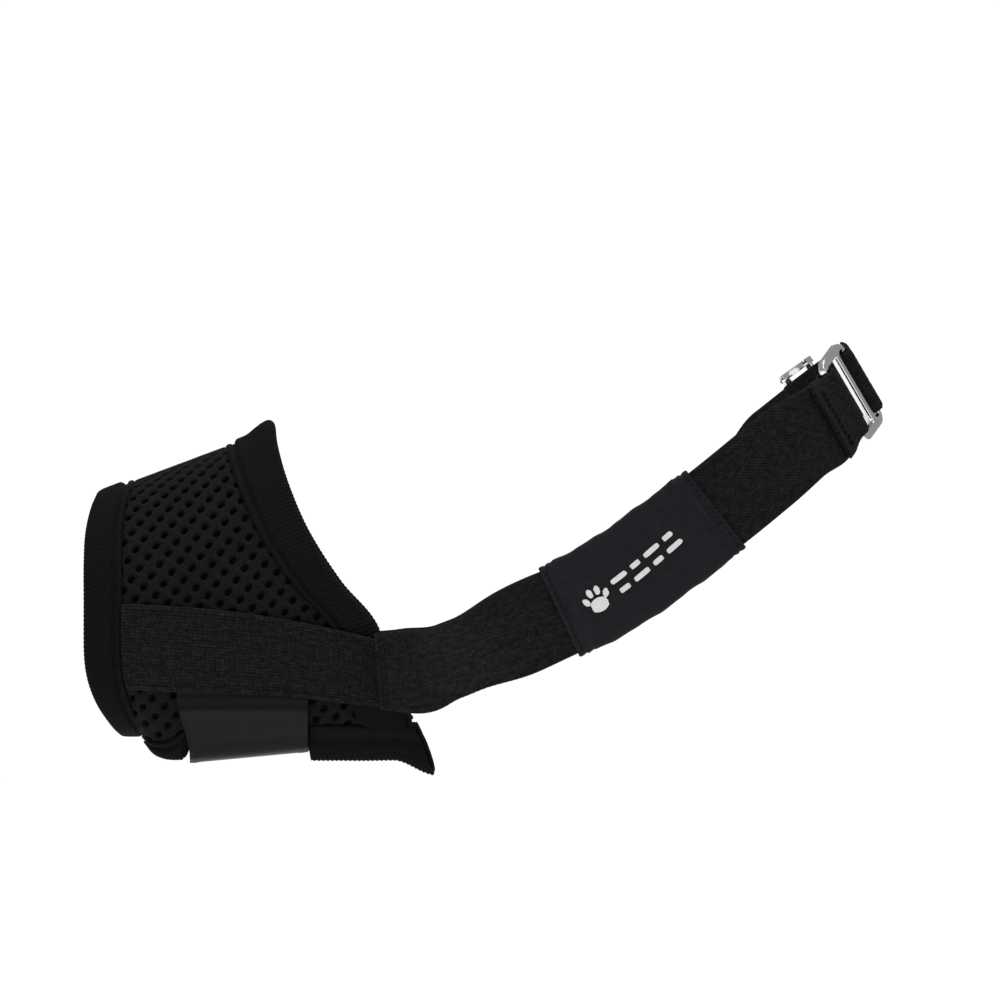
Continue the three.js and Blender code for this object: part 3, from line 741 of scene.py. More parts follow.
def panel_grid(rows, columns, margin):
    """Places (x, angle) over the panel, reaching margin under the tapes round it."""
    u, v = np.meshgrid(np.linspace(0, 1, columns), np.linspace(0, 1, rows))
    spread = v * 2 - 1
    limit = np.full_like(u, math.radians(120))
    x = np.zeros_like(u)
    for _ in range(SETTLE):
        angle = spread * limit
        z = section(x, angle, depth_at(x))[..., 2]
        cover = mix(margin, 1.0, smooth(-z, 14, 22))
        x = mix(ring_rear_at(x, z) - cover, rear_edge(angle) - REAR_TAPE + margin, u)
        limit = angle_at(x, np.maximum(lower_tape_top(x) - 2.5, lower_edge(x) + 1.4))
    return x, spread * limit


def knit_lining():
    rows, columns = 150, 50
    x, angle = panel_grid(rows, columns, 6.0)
    ripple = 0.05 * np.sin(x * 4.1) * np.sin(angle * 90)
    outer = surface(x, angle, 0.55 + ripple)
    inner = surface(x, angle, 0.08 + ripple)
    points = np.concatenate([outer, inner[:, ::-1]], axis=1)
    faces = np.vstack([quads(rows, 2 * columns, columns_close=True), end_quads(rows, 2 * columns)])
    piece = add_mesh("air_mesh_inner", points, faces, lining)
    place_piece(piece, "muzzle")


# ---- Binding tapes ------------------------------------------------------------------------
RIB_HEIGHT, RIB_SAMPLES = 0.19, 6


def tape_profile(width, fold=2.0, middle=1.2, thick=0.5):
    """Half of a tape folded over an edge: (distance from the edge, height) and the ribbed share."""
    top = middle + fold
    outer = [
        (width, 2.62), (width - 0.06, 3.0), (width - 0.4, 3.3), (width - 1.0, 3.42), (width - 1.55, 3.2),
        (width - 1.85, 2.75), (width - 2.15, 2.6), (width - 2.45, 2.75), (width - 2.9, 3.15),
    ]
    plain = len(outer) - 1
    flat = np.linspace(width - 3.5, fold + 0.5, 8)
    outer += [(d, top + 0.15 * math.sin(math.pi * d / width)) for d in flat]
    for turn in np.linspace(90, -90, 11):
        lean = math.radians(turn)
        outer.append((fold - fold * math.cos(lean), middle + fold * math.sin(lean)))
    outer += [(d, middle - fold) for d in np.linspace(fold + 1, width - 2.6, 5)]
    under = middle - fold
    outer += [(width - 2.1, under + 0.25), (width - 1.6, under), (width - 0.4, under + 0.1)]
    line = np.array(outer)
    ribbed = np.ones(len(line))
    ribbed[:plain] = 0.15
    ribbed[-3:] = 0
    tangent = unit(np.gradient(line, axis=0))
    inward = np.stack([-tangent[:, 1], tangent[:, 0]], axis=-1)
    return line, inward, ribbed, thick


def tape_piece(name, node, place, length_line, width, closed, skew, squash=None):
    """A ribbed tape folded over an edge. place(station, distance, height) gives the points."""
    line, inward, ribbed, thick = tape_profile(width)
    along = lengths_along(length_line)
    pitch = along[-1] / round(along[-1] / RIB_PITCH)
    count = round(along[-1] / pitch * RIB_SAMPLES)
    s = np.linspace(0, along[-1], count + 1)
    s = s[:-1] if closed else s
    station = np.interp(s, along, np.arange(len(length_line)))
    phase = (s[:, None] + skew * line[None, :, 0]) / pitch
    wave = np.abs(np.sin(math.pi * phase)) ** 0.7
    lift = RIB_HEIGHT * (wave - 0.6) * ribbed[None, :]
    wobble = 0.10 * np.sin(s / 5.3)[:, None] + 0.07 * np.sin(s / 2.1 + 1)[:, None]
    distance = line[None, :, 0] - inward[None, :, 0] * lift
    height = line[None, :, 1] - inward[None, :, 1] * lift + wobble * 0.6
    back_distance = line[:, 0] + inward[:, 0] * thick
    back_height = line[:, 1] + inward[:, 1] * thick
    distance = np.hstack([distance, np.tile(back_distance[::-1], (len(s), 1))])
    height = np.hstack([height, np.tile(back_height[::-1], (len(s), 1))])
    points = place(station[:, None], distance, height)
    rows, columns = distance.shape
    faces = quads(rows, columns, rows_close=closed, columns_close=True)
    if not closed:
        faces = np.vstack([faces, end_quads(rows, columns)])
    run = (s[:, None] + skew * line[None, :, 0]) * RIB_PITCH / pitch
    # The plain parts and the back sit at a rib's crest in the map, so they get neither ribs nor the ribs'
    # painted valley shade.
    run = np.where(ribbed[None, :] > 0.5, run, RIB_PITCH / 2)
    run = np.hstack([run, np.full_like(run, RIB_PITCH / 2)])
    uv = np.stack([run, np.broadcast_to(np.arange(columns, dtype=float), run.shape)], axis=-1)
    piece = add_mesh(name, points, faces, tape, uv, sharp=60)
    return place_piece(piece, "muzzle", [node])


def seam_line(place, stations, distance, height):
    """A seam's line and the way out from the cloth, for its stitches."""
    at = stations[:, None]
    line = place(at, np.full_like(at, distance), np.full_like(at, height))[:, 0]
    above = place(at, np.full_like(at, distance), np.full_like(at, height + 1))[:, 0]
    return line, above - line


def ridge_drop(angle, distance, width):
    """The inner ridge lies flatter over the bridge than on the flanks."""
    crown = np.maximum(0, np.cos(angle)) ** 6
    return 0.6 * crown * smooth(distance, width - 3.4, width - 2.2)


def front_tape():
    angles = np.linspace(-math.pi, math.pi, 721)
    line = surface(front_edge(angles), angles, TAPE_OUTSIDE, front_depth)

    def place(station, distance, height):
        angle = np.interp(station, np.arange(len(angles)), angles) + 0 * distance
        reach = (ring_rear(angle) - front_edge(angle)) / FRONT_TAPE
        height = height - ridge_drop(angle, distance, FRONT_TAPE)
        return surface(front_edge(angle) + distance * reach, angle, height, front_depth)

    tape_piece("binding_front", "front_binding", place, line, FRONT_TAPE, True, 0.55)
    stations = np.linspace(0, 720, 500)
    add_stitches("stitches_front", [seam_line(place, stations, FRONT_TAPE - SEAM_IN, SEAM_HEIGHT)], "muzzle")


def rear_tape():
    spread = np.linspace(-1, 1, 481)

    def place(station, distance, height):
        share = np.interp(station, np.arange(len(spread)), spread) + 0 * distance
        x = np.full_like(share, 45.0)
        for _ in range(SETTLE):
            angle = share * angle_at(x, lower_tape_top(x) + 0.7)
            x = rear_edge(angle) - distance
        crown = np.maximum(0, np.cos(angle)) ** 8
        x = x + 1.6 * crown * (1 - smooth(distance, 0, 5))
        height = height + 2.4 * crown * (1 - smooth(distance, 0, 7)) - ridge_drop(angle, distance, REAR_TAPE)
        return surface(x, angle, height)

    every = np.arange(len(spread), dtype=float)[:, None]
    line = place(every, 0 * every, 0 * every + TAPE_OUTSIDE)[:, 0]
    tape_piece("binding_rear", "rear_binding", place, line, REAR_TAPE, False, 0.25)
    stations = np.linspace(1, 479, 500)
    add_stitches("stitches_rear", [seam_line(place, stations, REAR_TAPE - SEAM_IN, SEAM_HEIGHT)], "muzzle")


def lower_tape(side):
    word = SIDE_WORD[side]
    share = np.linspace(0, 1, 241)
    width = 6.4

    def place(station, distance, height):
        v = np.interp(station, np.arange(len(share)), share) + 0 * distance
        rear = np.full_like(v, 53.0)
        for _ in range(SETTLE):
            tall = lower_tape_top(rear) - lower_edge(rear)
            z = lower_edge(rear) + distance * tall / width
            rear = rear_edge(angle_at(rear, z))
        x = mix(-25.6, rear, v)
        tall = lower_tape_top(x) - lower_edge(x)
        z = lower_edge(x) + distance * tall / width
        height = 1.2 + (height - 1.2) * mix(0.35, 1.0, smooth(x, -26, -21))
        height = height - 0.9 * squeeze(x) * (height > 1.2)
        return surface(x, side * angle_at(x, z), height)

    every = np.arange(len(share), dtype=float)[:, None]
    line = place(every, 0 * every, 0 * every + TAPE_OUTSIDE)[:, 0]
    tape_piece(f"binding_lower_{word}", f"lower_binding_{word}", place, line, width, False, 0.15)


# ---- Chin band --------------------------------------------------------------------------------
def chin_band():
    """A wide satin elastic: tucked under the side straps, round the jaw and flat below it."""
    rows_x = np.linspace(BAND_FRONT, BAND_REAR, 60)
    outer, inner = [], []
    for x in rows_x:
        bottom = band_bottom(x)
        corner_height = bottom + BAND_CORNER
        flank_z = np.linspace(-24.6, corner_height, 26)
        tuck = smooth(-flank_z, 25.5, 31.5)
        middle_y = surface(np.full_like(flank_z, x), angle_at(x, flank_z), 0)[:, 1]
        inner_y = middle_y + mix(2.62, 3.6, tuck)
        outer_y = inner_y + mix(0.5, BAND_THICK, tuck)
        centre = outer_y[-1] - BAND_CORNER
        turns = np.linspace(0, math.pi / 2, 16)[1:]
        floor = np.linspace(centre, 0, 14)[1:]
        half_outer = [*zip(outer_y, flank_z)]
        half_inner = [*zip(inner_y, flank_z)]
        for turn in turns:
            for half, radius in ((half_outer, BAND_CORNER), (half_inner, BAND_CORNER - BAND_THICK)):
                half.append((centre + radius * math.cos(turn), corner_height - radius * math.sin(turn)))
        for y in floor:
            half_outer.append((y, bottom))
            half_inner.append((y, bottom + BAND_THICK))
        outer.append(half_outer)
        inner.append(half_inner)
    outer, inner = np.array(outer), np.array(inner)
    across = (rows_x - rows_x[0]) / (rows_x[-1] - rows_x[0])

    def whole(half):
        """Both sides of the band, with its front edge slanting back towards the jaw."""
        other = half[:, -2::-1] * (-1, 1)
        yz = np.concatenate([half, other], axis=1)
        down = smooth(-yz[..., 1], 26, 44)
        slanted = mix(mix(BAND_FRONT_TOP, BAND_FRONT_BOTTOM, down), BAND_REAR_EDGE, across[:, None])
        return np.stack([slanted, yz[..., 0], yz[..., 1]], axis=-1).transpose(1, 0, 2)

    outer, inner = whole(outer), whole(inner)
    around = np.linspace(0, 1, len(outer))[:, None]
    # The hem at each side is a little thicker, and the cloth puckers along it.
    hem = np.exp(-((across - 0.05) / 0.025) ** 2) + np.exp(-((across - 0.95) / 0.025) ** 2)
    pucker = 0.10 * np.sin(around * 150) * (np.abs(across - 0.5) * 2) ** 6
    lift = (0.12 * hem[None, :] + pucker) * smooth(np.minimum(around, 1 - around), 0.08, 0.16)
    direction = unit(outer - inner)
    outer = outer + direction * lift[..., None]
    points = np.concatenate([outer, inner[:, ::-1]], axis=1)
    rows, columns = points.shape[:2]
    faces = np.vstack([quads(rows, columns, columns_close=True), end_quads(rows, columns)])
    run = lengths_along(outer[:, 30])
    u = np.broadcast_to(run[:, None], (rows, columns))
    v = np.concatenate([rows_x, rows_x[::-1]])
    uv = np.stack([u, np.broadcast_to(v[None, :], (rows, columns))], axis=-1)
    piece = add_mesh("chin_elastic", points, faces, elastic, uv)
    place_piece(piece, "muzzle", ["chin_band"])


# ---- Webbing ---------------------------------------------------------------------------------------
def basket_weave(u, v):
    """Short raised floats in rows, each row about half a float on from the last."""
    row = np.floor(v / FLOAT_ROW)
    tall = np.abs(np.sin(math.pi * v / FLOAT_ROW)) ** 0.7
    float_ = 0.5 + 0.5 * np.cos(2 * math.pi * (u / FLOAT_LONG + 0.5 * row + 0.35 * np.sin(2.7 * row)))
    uneven = 0.06 * np.sin(row * 2.7 + u * 0.9) + 0.05 * np.sin(row * 5.1 - u * 2.3)
    return 0.34 * tall * (0.4 + 0.75 * float_**1.2) + uneven * tall - 0.14


def herringbone(u, v):
    """Columns of slanting ribs that turn back at each column's edge."""
    column = 4.2
    fold = (1 - np.abs((v / column) % 2 - 1)) * column
    rib = np.abs(np.sin(math.pi * (u + 1.25 * fold) / 1.3)) ** 0.7
    uneven = 0.05 * np.sin(u * 1.3 + v * 2.1) + 0.03 * np.sin(u * 3.7 - v * 1.9)
    return 0.22 * rib + uneven - 0.11


def woven_rows(points_at, u, width, pattern, back_columns=26, step=0.3):
    """Rows of points for a strap: its woven face, then its back.

    points_at(v, height) gives one point per row of u for each v, from -0.5 to 0.5 across.
    """
    face = np.linspace(-0.5, 0.5, round(WEBBING_WIDTH / step) + 1)
    back = np.linspace(0.5, -0.5, back_columns)

    def half_thick(v):
        return 0.14 + (WEBBING_THICK / 2 - 0.14) * (1 - np.abs(2 * v) ** 22)

    raised = pattern(u[:, None], (face * WEBBING_WIDTH)[None, :]) * (1 - np.abs(2 * face) ** 30)[None, :]
    top = points_at(face, half_thick(face)[None, :] + raised)
    bottom_lift = 0.06 * np.sin(u * 2 * math.pi / 1.5)[:, None] * np.sin(back * 60)[None, :]
    bottom = points_at(back, -half_thick(back)[None, :] + bottom_lift)
    uv_v = np.concatenate([face, back]) * WEBBING_WIDTH
    uv = np.stack(np.broadcast_arrays(u[:, None], uv_v[None, :]), axis=-1)
    return np.concatenate([top, bottom], axis=1), uv


def strap_mesh(name, rows_points, uv, face_columns, material=webbing):
    rows, columns = rows_points.shape[:2]
    faces = quads(rows, columns, columns_close=True)
    caps = []
    back = columns - face_columns
    for row, flip in ((0, False), (rows - 1, True)):
        base = row * columns
        share = [round(k * (back - 1) / (face_columns - 1)) for k in range(face_columns)]
        for k in range(face_columns - 1):
            a, b = base + k, base + k + 1
            c, d = base + columns - 1 - share[k + 1], base + columns - 1 - share[k]
            quad = (a, d, c, b) if not flip else (a, b, c, d)
            caps.append(quad)
    return add_mesh(name, rows_points, np.vstack([faces, caps]), material, uv, sharp=70)


def side_strap(side):
    word = SIDE_WORD[side]
    length = 76
    u = np.linspace(0, length, round(length / 0.3) + 1)

    def points_at(v, height):
        across, along = np.meshgrid(v + 0.5, u / length)
        start = np.full_like(across, -31.0)
        for _ in range(SETTLE):
            z = mix(strap_bottom(start), strap_top(start), across)
            start = front_edge(angle_at(start, z)) + FRONT_TAPE + 0.1
        x = mix(start, 44.0, along)
        z = mix(strap_bottom(x), strap_top(x), across)
        rest = mix(3.2, 4.3, smooth(x, 16, 30)) + WEBBING_THICK / 2
        soft = 0.12 * np.sin(along * 19 + across * 2)
        return surface(x, side * angle_at(x, z), rest + height + soft)

    points, uv = woven_rows(points_at, u, WEBBING_WIDTH, basket_weave)
    piece = strap_mesh(f"side_webbing_{word}", points, uv, round(WEBBING_WIDTH / 0.3) + 1, flank_webbing)
    place_piece(piece, "muzzle", [f"side_strap_{word}"])
    rows = []
    for height in (1.6, 23.4):
        share = np.full(120, height / 25)
        x = np.linspace(-28, 35, 120)
        z = mix(strap_bottom(x), strap_top(x), share)
        rest = mix(3.2, 4.3, smooth(x, 16, 30)) + WEBBING_THICK + 0.1
        line = surface(x, side * angle_at(x, z), rest)
        above = surface(x, side * angle_at(x, z), rest + 1)
        rows.append((line, above - line))
    add_stitches(f"stitches_side_{word}", rows, "muzzle", length=1.9, pitch=2.6, radius=0.2)


def strap_facing(side):
    """The smooth strip between the rear tape and the side strap."""
    word = SIDE_WORD[side]
    u, v = np.meshgrid(np.linspace(0, 1, 30), np.linspace(0, 1, 24))
    x = mix(33.5, 46.5, v)
    x = x - 5 * u * (1 - v)
    z = mix(-35.4 + 2.0 * (1 - v) ** 2, -20, u)
    ripple = 0.05 * np.sin(v * 20)
    outer = surface(x, side * angle_at(x, z), 3.98 + ripple)
    inner = surface(x, side * angle_at(x, z), 3.55 + ripple)
    points = np.concatenate([outer, inner[:, ::-1]], axis=1)
    faces = np.vstack([quads(24, 60, columns_close=True), end_quads(24, 60)])
    run = np.concatenate([v, v[:, ::-1]], axis=1) * 13
    rise = np.concatenate([u, u[:, ::-1]], axis=1) * 15
    uv = np.stack([run, rise], axis=-1)
    piece = add_mesh(f"facing_{word}", points, faces, facing_cloth, uv)
    place_piece(piece, "muzzle", [f"strap_facing_{word}"])


# ---- Neck loop ---------------------------------------------------------------------------------------
LOOP_UP = np.array([-math.sin(LOOP_TILT), 0, math.cos(LOOP_TILT)])
RING_LEAN = math.radians(23)
RING_ALONG = unit(RING_FAR - RING_NEAR)
RING_ACROSS = square_to(np.array([-math.sin(RING_LEAN), 0, math.cos(RING_LEAN)]), RING_ALONG)
RING_OUT = unit(np.cross(RING_ALONG, RING_ACROSS))
LOOP_ALONG = square_to(NAPE_MIDDLE - RING_FAR, RING_ACROSS)
LOOP_OUT = unit(np.cross(LOOP_ALONG, RING_ACROSS))
STRAIGHT_ALONG = unit(STRAIGHT_END - STRAIGHT_START)
STRAIGHT_ACROSS = square_to(LOOP_UP, STRAIGHT_ALONG)
STRAIGHT_OUT = unit(np.cross(STRAIGHT_ALONG, STRAIGHT_ACROSS))
LEFT_FOLD = RING_LEFT_BAR / 2 + 0.5 + WEBBING_THICK / 2
RIGHT_FOLD = RING_THICK / 2 + 0.35 + WEBBING_THICK / 2


def cheek_line(side, rise=0.0):
    """Middle line from the junction to the start of the nape curve."""
    route = [
        (36.8, 49.4, -21.6), (48, 49.5, -20.4), (60, 49.7, -16.4), (74, 49.9, -10.3), (84, 50, -5.6),
        (95, 50, -0.3), (106, 50, 6), (121, 50, 16.8 + rise * 0.3), (135.5, 50, 28 + rise * 0.8),
    ]
    return [(x, side * y, z) for x, y, z in route]


def beside(bar, along, out):
    def point(a, b):
        return bar + along * a + out * b
    return point


def fold(direction, reach, radius):
    """A strap folded round a bar, from layer to layer, as (along, out)."""
    leg = [(reach, LAYER), (reach * 0.6, LAYER), (4, mix(LAYER, radius, 0.35))]
    turns = np.linspace(0, math.pi, 7)
    arc = [(-radius * math.sin(t), radius * math.cos(t)) for t in turns]
    back = [(a, -b) for a, b in reversed(leg)]
    return [(a * direction, b) for a, b in leg + arc + back]


def straight_point(t, out):
    return mix(STRAIGHT_START, STRAIGHT_END, t) + STRAIGHT_OUT * out


def turning_up(bar):
    def up(line):
        share = smooth(np.linalg.norm(line - bar, axis=1), 12, 32)[:, None]
        return mix(RING_ACROSS[None, :], LOOP_UP[None, :], share)
    return up


def junction_tilt(line):
    x = line[:, 0]
    return -math.radians(34) * smooth(x, 43, 58) * (1 - smooth(x, 62, 84))


def strap_frames(route, step, up, tilt=None):
    """(line, across, normal) along a strap: its width lies along up."""
    line = evenly(catmull(route), step)
    tangent = unit(np.gradient(line, axis=0))
    across = up(line) + 0 * line
    across = unit(across - np.sum(across * tangent, axis=1, keepdims=True) * tangent)
    if tilt is not None:
        turn = tilt(line)[:, None]
        across = across * np.cos(turn) + np.cross(tangent, across) * np.sin(turn)
    return line, across, unit(np.cross(tangent, across))


def strap_piece(name, frames, widths, step, pattern=herringbone, wave=0.12, shift=None, creased=False):
    line, across, normal = frames
    if shift is not None:
        line = line + across * shift[:, None]
    x = line[:, 0]
    u = lengths_along(line)
    soft = wave * (np.sin(u / 7.5) + 0.6 * np.sin(u / 3.1 + 1.0))

    def points_at(v, height):
        flat = line[:, None] + across[:, None] * (v[None, :, None] * widths[:, None, None])
        if creased:
            # A crease runs along the strap behind the junction, where it turns up.
            off = v[None, :] * WEBBING_WIDTH + 3.6 - 2.2 * (x[:, None] - 57) / 32
            bend = smooth(x, 50, 58) * (1 - smooth(x, 86, 94))
            height = height - 0.42 * np.exp(-((off / 0.55) ** 2)) * bend[:, None]
        return flat + normal[:, None] * (height + soft[:, None] * np.cos(v * 5)[None, :])[..., None]

    points, uv = woven_rows(points_at, u, WEBBING_WIDTH, pattern, step=step)
    return strap_mesh(name, points, uv, round(WEBBING_WIDTH / step) + 1)


JUNCTION_BEND = ("muzzle", "neck_loop", (39, 0, -21), (66, 0, -14))


def trimmed(frames):
    """The frames from the sewn end's cut edge on."""
    kept = frames[0][:, 0] > 38.2
    return tuple(part[kept] for part in frames)


def at_junction(line, widths):
    """Each strap's sewn end is gathered a little, with its top edge kept in place."""
    sewn = 1 - smooth(line[:, 0], 38, 54)
    return widths - 3.6 * sewn, 1.6 * sewn


def neck_strap_left():
    local = beside(RING_NEAR, RING_ALONG, RING_OUT)
    wrapped = [local(a, b) for a, b in reversed(fold(-1, 13.5, LEFT_FOLD))]
    route = [*cheek_line(LEFT), (146, -48, 36.6), (155.5, -42.6, 44.4), *wrapped]
    frames = trimmed(strap_frames(route, 0.36, turning_up(RING_NEAR), junction_tilt))
    away = np.linalg.norm(frames[0] - RING_NEAR, axis=1)
    widths = mix(mix(GATHERED_LEFT, 23.6, smooth(away, 3, 10)), WEBBING_WIDTH, smooth(away, 14, 40))
    widths, shift = at_junction(frames[0], widths)
    piece = strap_piece("neck_webbing_left", frames, widths, 0.36, shift=shift, creased=True)
    place_piece(piece, None, ["neck_strap_left"], JUNCTION_BEND)


def neck_strap_right():
    local = beside(RING_FAR, LOOP_ALONG, LOOP_OUT)
    route = [
        local(10.8, LAYER), NAPE_MIDDLE + LOOP_OUT * LAYER,
        *[straight_point(t, LAYER) for t in (0, 0.12, 0.3, 0.5, 0.7, 0.88, 1)],
        *reversed(cheek_line(RIGHT, 3.6)),
    ]
    frames = trimmed(strap_frames(route, 0.36, turning_up(RING_FAR), junction_tilt))
    widths = mix(GATHERED_RIGHT, WEBBING_WIDTH, smooth(-frames[0][:, 0], -120, -80))
    widths, shift = at_junction(frames[0], widths)
    x = frames[0][:, 0]
    shift = shift - 2.6 * smooth(x, 88, 112) * (1 - smooth(x, 138, 150))
    piece = strap_piece("neck_webbing_right", frames, widths, 0.36, shift=shift)
    place_piece(piece, None, ["neck_strap_right"], JUNCTION_BEND)


def ring_strap_loop():
    """The right strap's turn round the ring's right bar."""
    local = beside(RING_FAR, LOOP_ALONG, LOOP_OUT)
    turn = [local(a, b) for a, b in fold(1, 10.7, RIGHT_FOLD)]
    frames = strap_frames(turn, 0.3, lambda line: RING_ACROSS[None, :])
    widths = np.full(len(frames[0]), float(GATHERED_RIGHT))
    piece = strap_piece("ring_loop_webbing", frames, widths, 0.36, wave=0.02)
    start, end = local(1.5, 0), local(10.5, 0)
    place_piece(piece, None, ["ring_loop"], ("ring", "neck_loop", start, end))


def return_strap():
    """The inner layer, back from the ring to a sewn turn round the adjuster's middle bar."""
    middle = straight_point(ADJUSTER_ALONG, 0)
    local = beside(middle - STRAIGHT_OUT * 2.95, STRAIGHT_ALONG, STRAIGHT_OUT)
    radius = ADJUSTER_BAR / 2 + 0.3 + WEBBING_THICK / 2
    turned = [(radius * math.sin(t), -radius * math.cos(t)) for t in np.linspace(0, math.pi, 7)]
    nape = beside(RING_FAR, LOOP_ALONG, LOOP_OUT)
    route = [
        *[local(a, b) for a, b in ((-11, 0.4), (-7, 0.4), (-4, -0.9), *turned, (-3.5, 2.1))],
        straight_point(0.14, -LAYER), straight_point(0.04, -LAYER),
        NAPE_MIDDLE - LOOP_OUT * LAYER, nape(10.8, -LAYER),
    ]
    frames = strap_frames(route, 0.36, turning_up(RING_FAR))
    widths = np.full(len(frames[0]), float(GATHERED_RIGHT))
    piece = strap_piece("return_webbing", frames, widths, 0.36, wave=0.03)
    start, end = nape(11.5, 0), straight_point(0.1, 0)
    place_piece(piece, None, ["return_strap"], ("neck_loop", "adjuster", start, end))


def cheek_frames(side, start, end, step):
    line, across, normal = strap_frames(cheek_line(side), step, lambda at: LOOP_UP[None, :], junction_tilt)
    pick = (line[:, 0] >= start) & (line[:, 0] <= end)
    return line[pick], across[pick], normal[pick]


def junction_seams(side):
    word = SIDE_WORD[side]
    line, across, normal = strap_frames(cheek_line(side), 0.3, lambda at: LOOP_UP[None, :], junction_tilt)
    if side == RIGHT:
        normal = -normal
    rows = []
    for x in (39.6, 40.8):
        at = np.argmin(np.abs(line[:, 0] - x))
        v = np.linspace(-8.2, 11.4, 60)[:, None]
        row = line[at] + across[at] * v + normal[at] * (WEBBING_THICK / 2 + 0.16)
        rows.append((row, np.tile(normal[at], (60, 1))))
    add_stitches(
        f"seam_junction_{word}", rows, None, JUNCTION_BEND, [f"junction_seam_{word}"],
        length=1.5, pitch=1.75, radius=0.18,
    )


def hem_stitches():
    local = beside(RING_NEAR, RING_ALONG, RING_OUT)
    rows = []
    for a in (-10.4, -9.4):
        height = LAYER + WEBBING_THICK / 2 + 0.14
        v = np.linspace(-9.6, 9.6, 60)[:, None]
        rows.append((local(a, height) + RING_ACROSS * v, np.tile(RING_OUT, (60, 1))))
    add_stitches("seam_hem", rows, "neck_loop", None, ["hem_seam"], length=1.5, pitch=1.8, radius=0.22)


# ---- Label ------------------------------------------------------------------------------------------
def label_sleeve():
    """A satin sleeve round the left strap, with turned-in ends."""
    line, across, normal = cheek_frames(LEFT, LABEL_FRONT, LABEL_REAR, 0.7)
    wide, thick, corner = 27.6, 3.9, 1.3
    turn = np.radians(np.linspace(0, 90, 7))
    half_w, half_t = wide / 2 - corner, thick / 2 - corner
    ring = []
    for sx, sy, start in ((1, 1, 0), (-1, 1, 90), (-1, -1, 180), (1, -1, 270)):
        for t in turn + math.radians(start):
            ring.append((sx * half_w + corner * math.cos(t), sy * half_t + corner * math.sin(t)))
    ring = np.array(ring)
    loop = np.vstack([ring, ring[:1]])
    ring = np.array(evenly(np.column_stack([loop, 0 * loop[:, 0]]), 0.7))[:-1, :2]
    u = lengths_along(line)
    around = np.arctan2(ring[:, 1] * 3, ring[:, 0])
    puff = 0.18 * np.sin(u / 2.3)[:, None] * np.cos(around * 3)[None, :]
    puff = puff + 0.11 * np.sin(u / 1.1 + 2)[:, None] * np.sin(around * 5 + 1)[None, :]
    ends = np.minimum(u, u[-1] - u)[:, None]
    hem = -0.5 * np.exp(-((ends - 1.9) / 0.42) ** 2) - 0.42 * np.exp(-((ends - 3.9) / 0.42) ** 2)
    hem = hem - 0.28 * (1 - smooth(ends, 0, 1.0))
    out = unit(ring * (0.2, 1))
    size = puff * smooth(ends, 0.5, 5) + hem
    v = ring[None, :, 0] + size * out[None, :, 0]
    n = ring[None, :, 1] + size * out[None, :, 1]
    outer = line[:, None] + across[:, None] * v[..., None] + normal[:, None] * n[..., None]
    shrink = 0.45
    inner = line[:, None] + across[:, None] * (v - shrink * out[None, :, 0])[..., None]
    inner = inner + normal[:, None] * (n - shrink * out[None, :, 1])[..., None]
    rows, columns = outer.shape[:2]
    points = np.concatenate([outer, inner[::-1]], axis=0)
    faces = quads(2 * rows, columns, rows_close=True, columns_close=True)
    girth = lengths_along(ring)
    uv = np.stack(np.broadcast_arrays(np.concatenate([u, u[::-1]])[:, None], girth[None, :]), axis=-1)
    piece = add_mesh("label_satin_sleeve", points, faces, satin, uv)
    place_piece(piece, "neck_loop", ["label_sleeve"])
    rows = []
    for at in (1.7, u[-1] - 1.7):
        row = np.argmin(np.abs(u - at))
        w = np.linspace(-12.6, 12.6, 60)[:, None]
        place = line[row] + across[row] * w + normal[row] * (thick / 2 + 0.2)
        rows.append((place, np.tile(normal[row], (60, 1))))
    add_stitches("stitches_label", rows, "neck_loop", length=1.3, pitch=1.9, radius=0.17)


def label_print():
    """A paw and a few plain bars, printed on the label's outer face."""
    line, across, normal = cheek_frames(LEFT, LABEL_FRONT, LABEL_REAR, 0.25)
    u = lengths_along(line)
    shapes = []

    def blob(cu, cv, ru, rv, lean=0.0, power=2.0, count=28):
        t = np.linspace(0, 2 * math.pi, count, endpoint=False)
        a = ru * signed_power(np.cos(t), 2 / power)
        b = rv * signed_power(np.sin(t), 2 / power)
        turned_u = cu + a * math.cos(lean) - b * math.sin(lean)
        turned_v = cv + a * math.sin(lean) + b * math.cos(lean)
        shapes.append(np.stack([turned_u, turned_v], axis=-1))

    paw_u, paw_v = 11.0, -1.6
    blob(paw_u, paw_v - 1.5, 2.5, 2.0, 0.0, 2.3)
    for du, dv, lean in ((-3.0, 0.6, 0.5), (-1.15, 2.4, 0.15), (1.15, 2.4, -0.15), (3.0, 0.6, -0.5)):
        blob(paw_u + du, paw_v + dv, 0.85, 1.3, lean)
    for k, length in enumerate((5.2, 3.2, 5.2, 3.2)):
        blob(19.2 + k * 5.9, -0.9 + 0.5 * k + 1.6, length / 2, 0.75, 0.08, 5)
        blob(19.2 + k * 5.9, -0.9 + 0.5 * k - 1.8, 4.2 - length / 2, 0.75, 0.08, 5)
    points, faces, offset = [], [], 0
    for shape in shapes:
        count = len(shape)
        layers = []
        for height in (2.36, 2.12):
            index = np.interp(shape[:, 0], u, np.arange(len(u)))
            low = index.astype(int)
            layers.append(line[low] + across[low] * shape[:, 1:2] + normal[low] * height)
        points.append(np.vstack(layers))
        top = list(range(offset, offset + count))
        bottom = list(range(offset + count, offset + 2 * count))
        faces.append(top)
        faces.append(bottom[::-1])
        for k in range(count):
            j = (k + 1) % count
            faces.append([top[j], top[k], bottom[k], bottom[j]])
        offset += 2 * count
    mesh = bpy.data.meshes.new("label_paw_print")
    mesh.from_pydata((np.vstack(points) * MM).tolist(), [], faces)
    piece = link_piece("label_paw_print", mesh, print_ink)
    turn_faces_out(piece)
    place_piece(piece, "neck_loop")


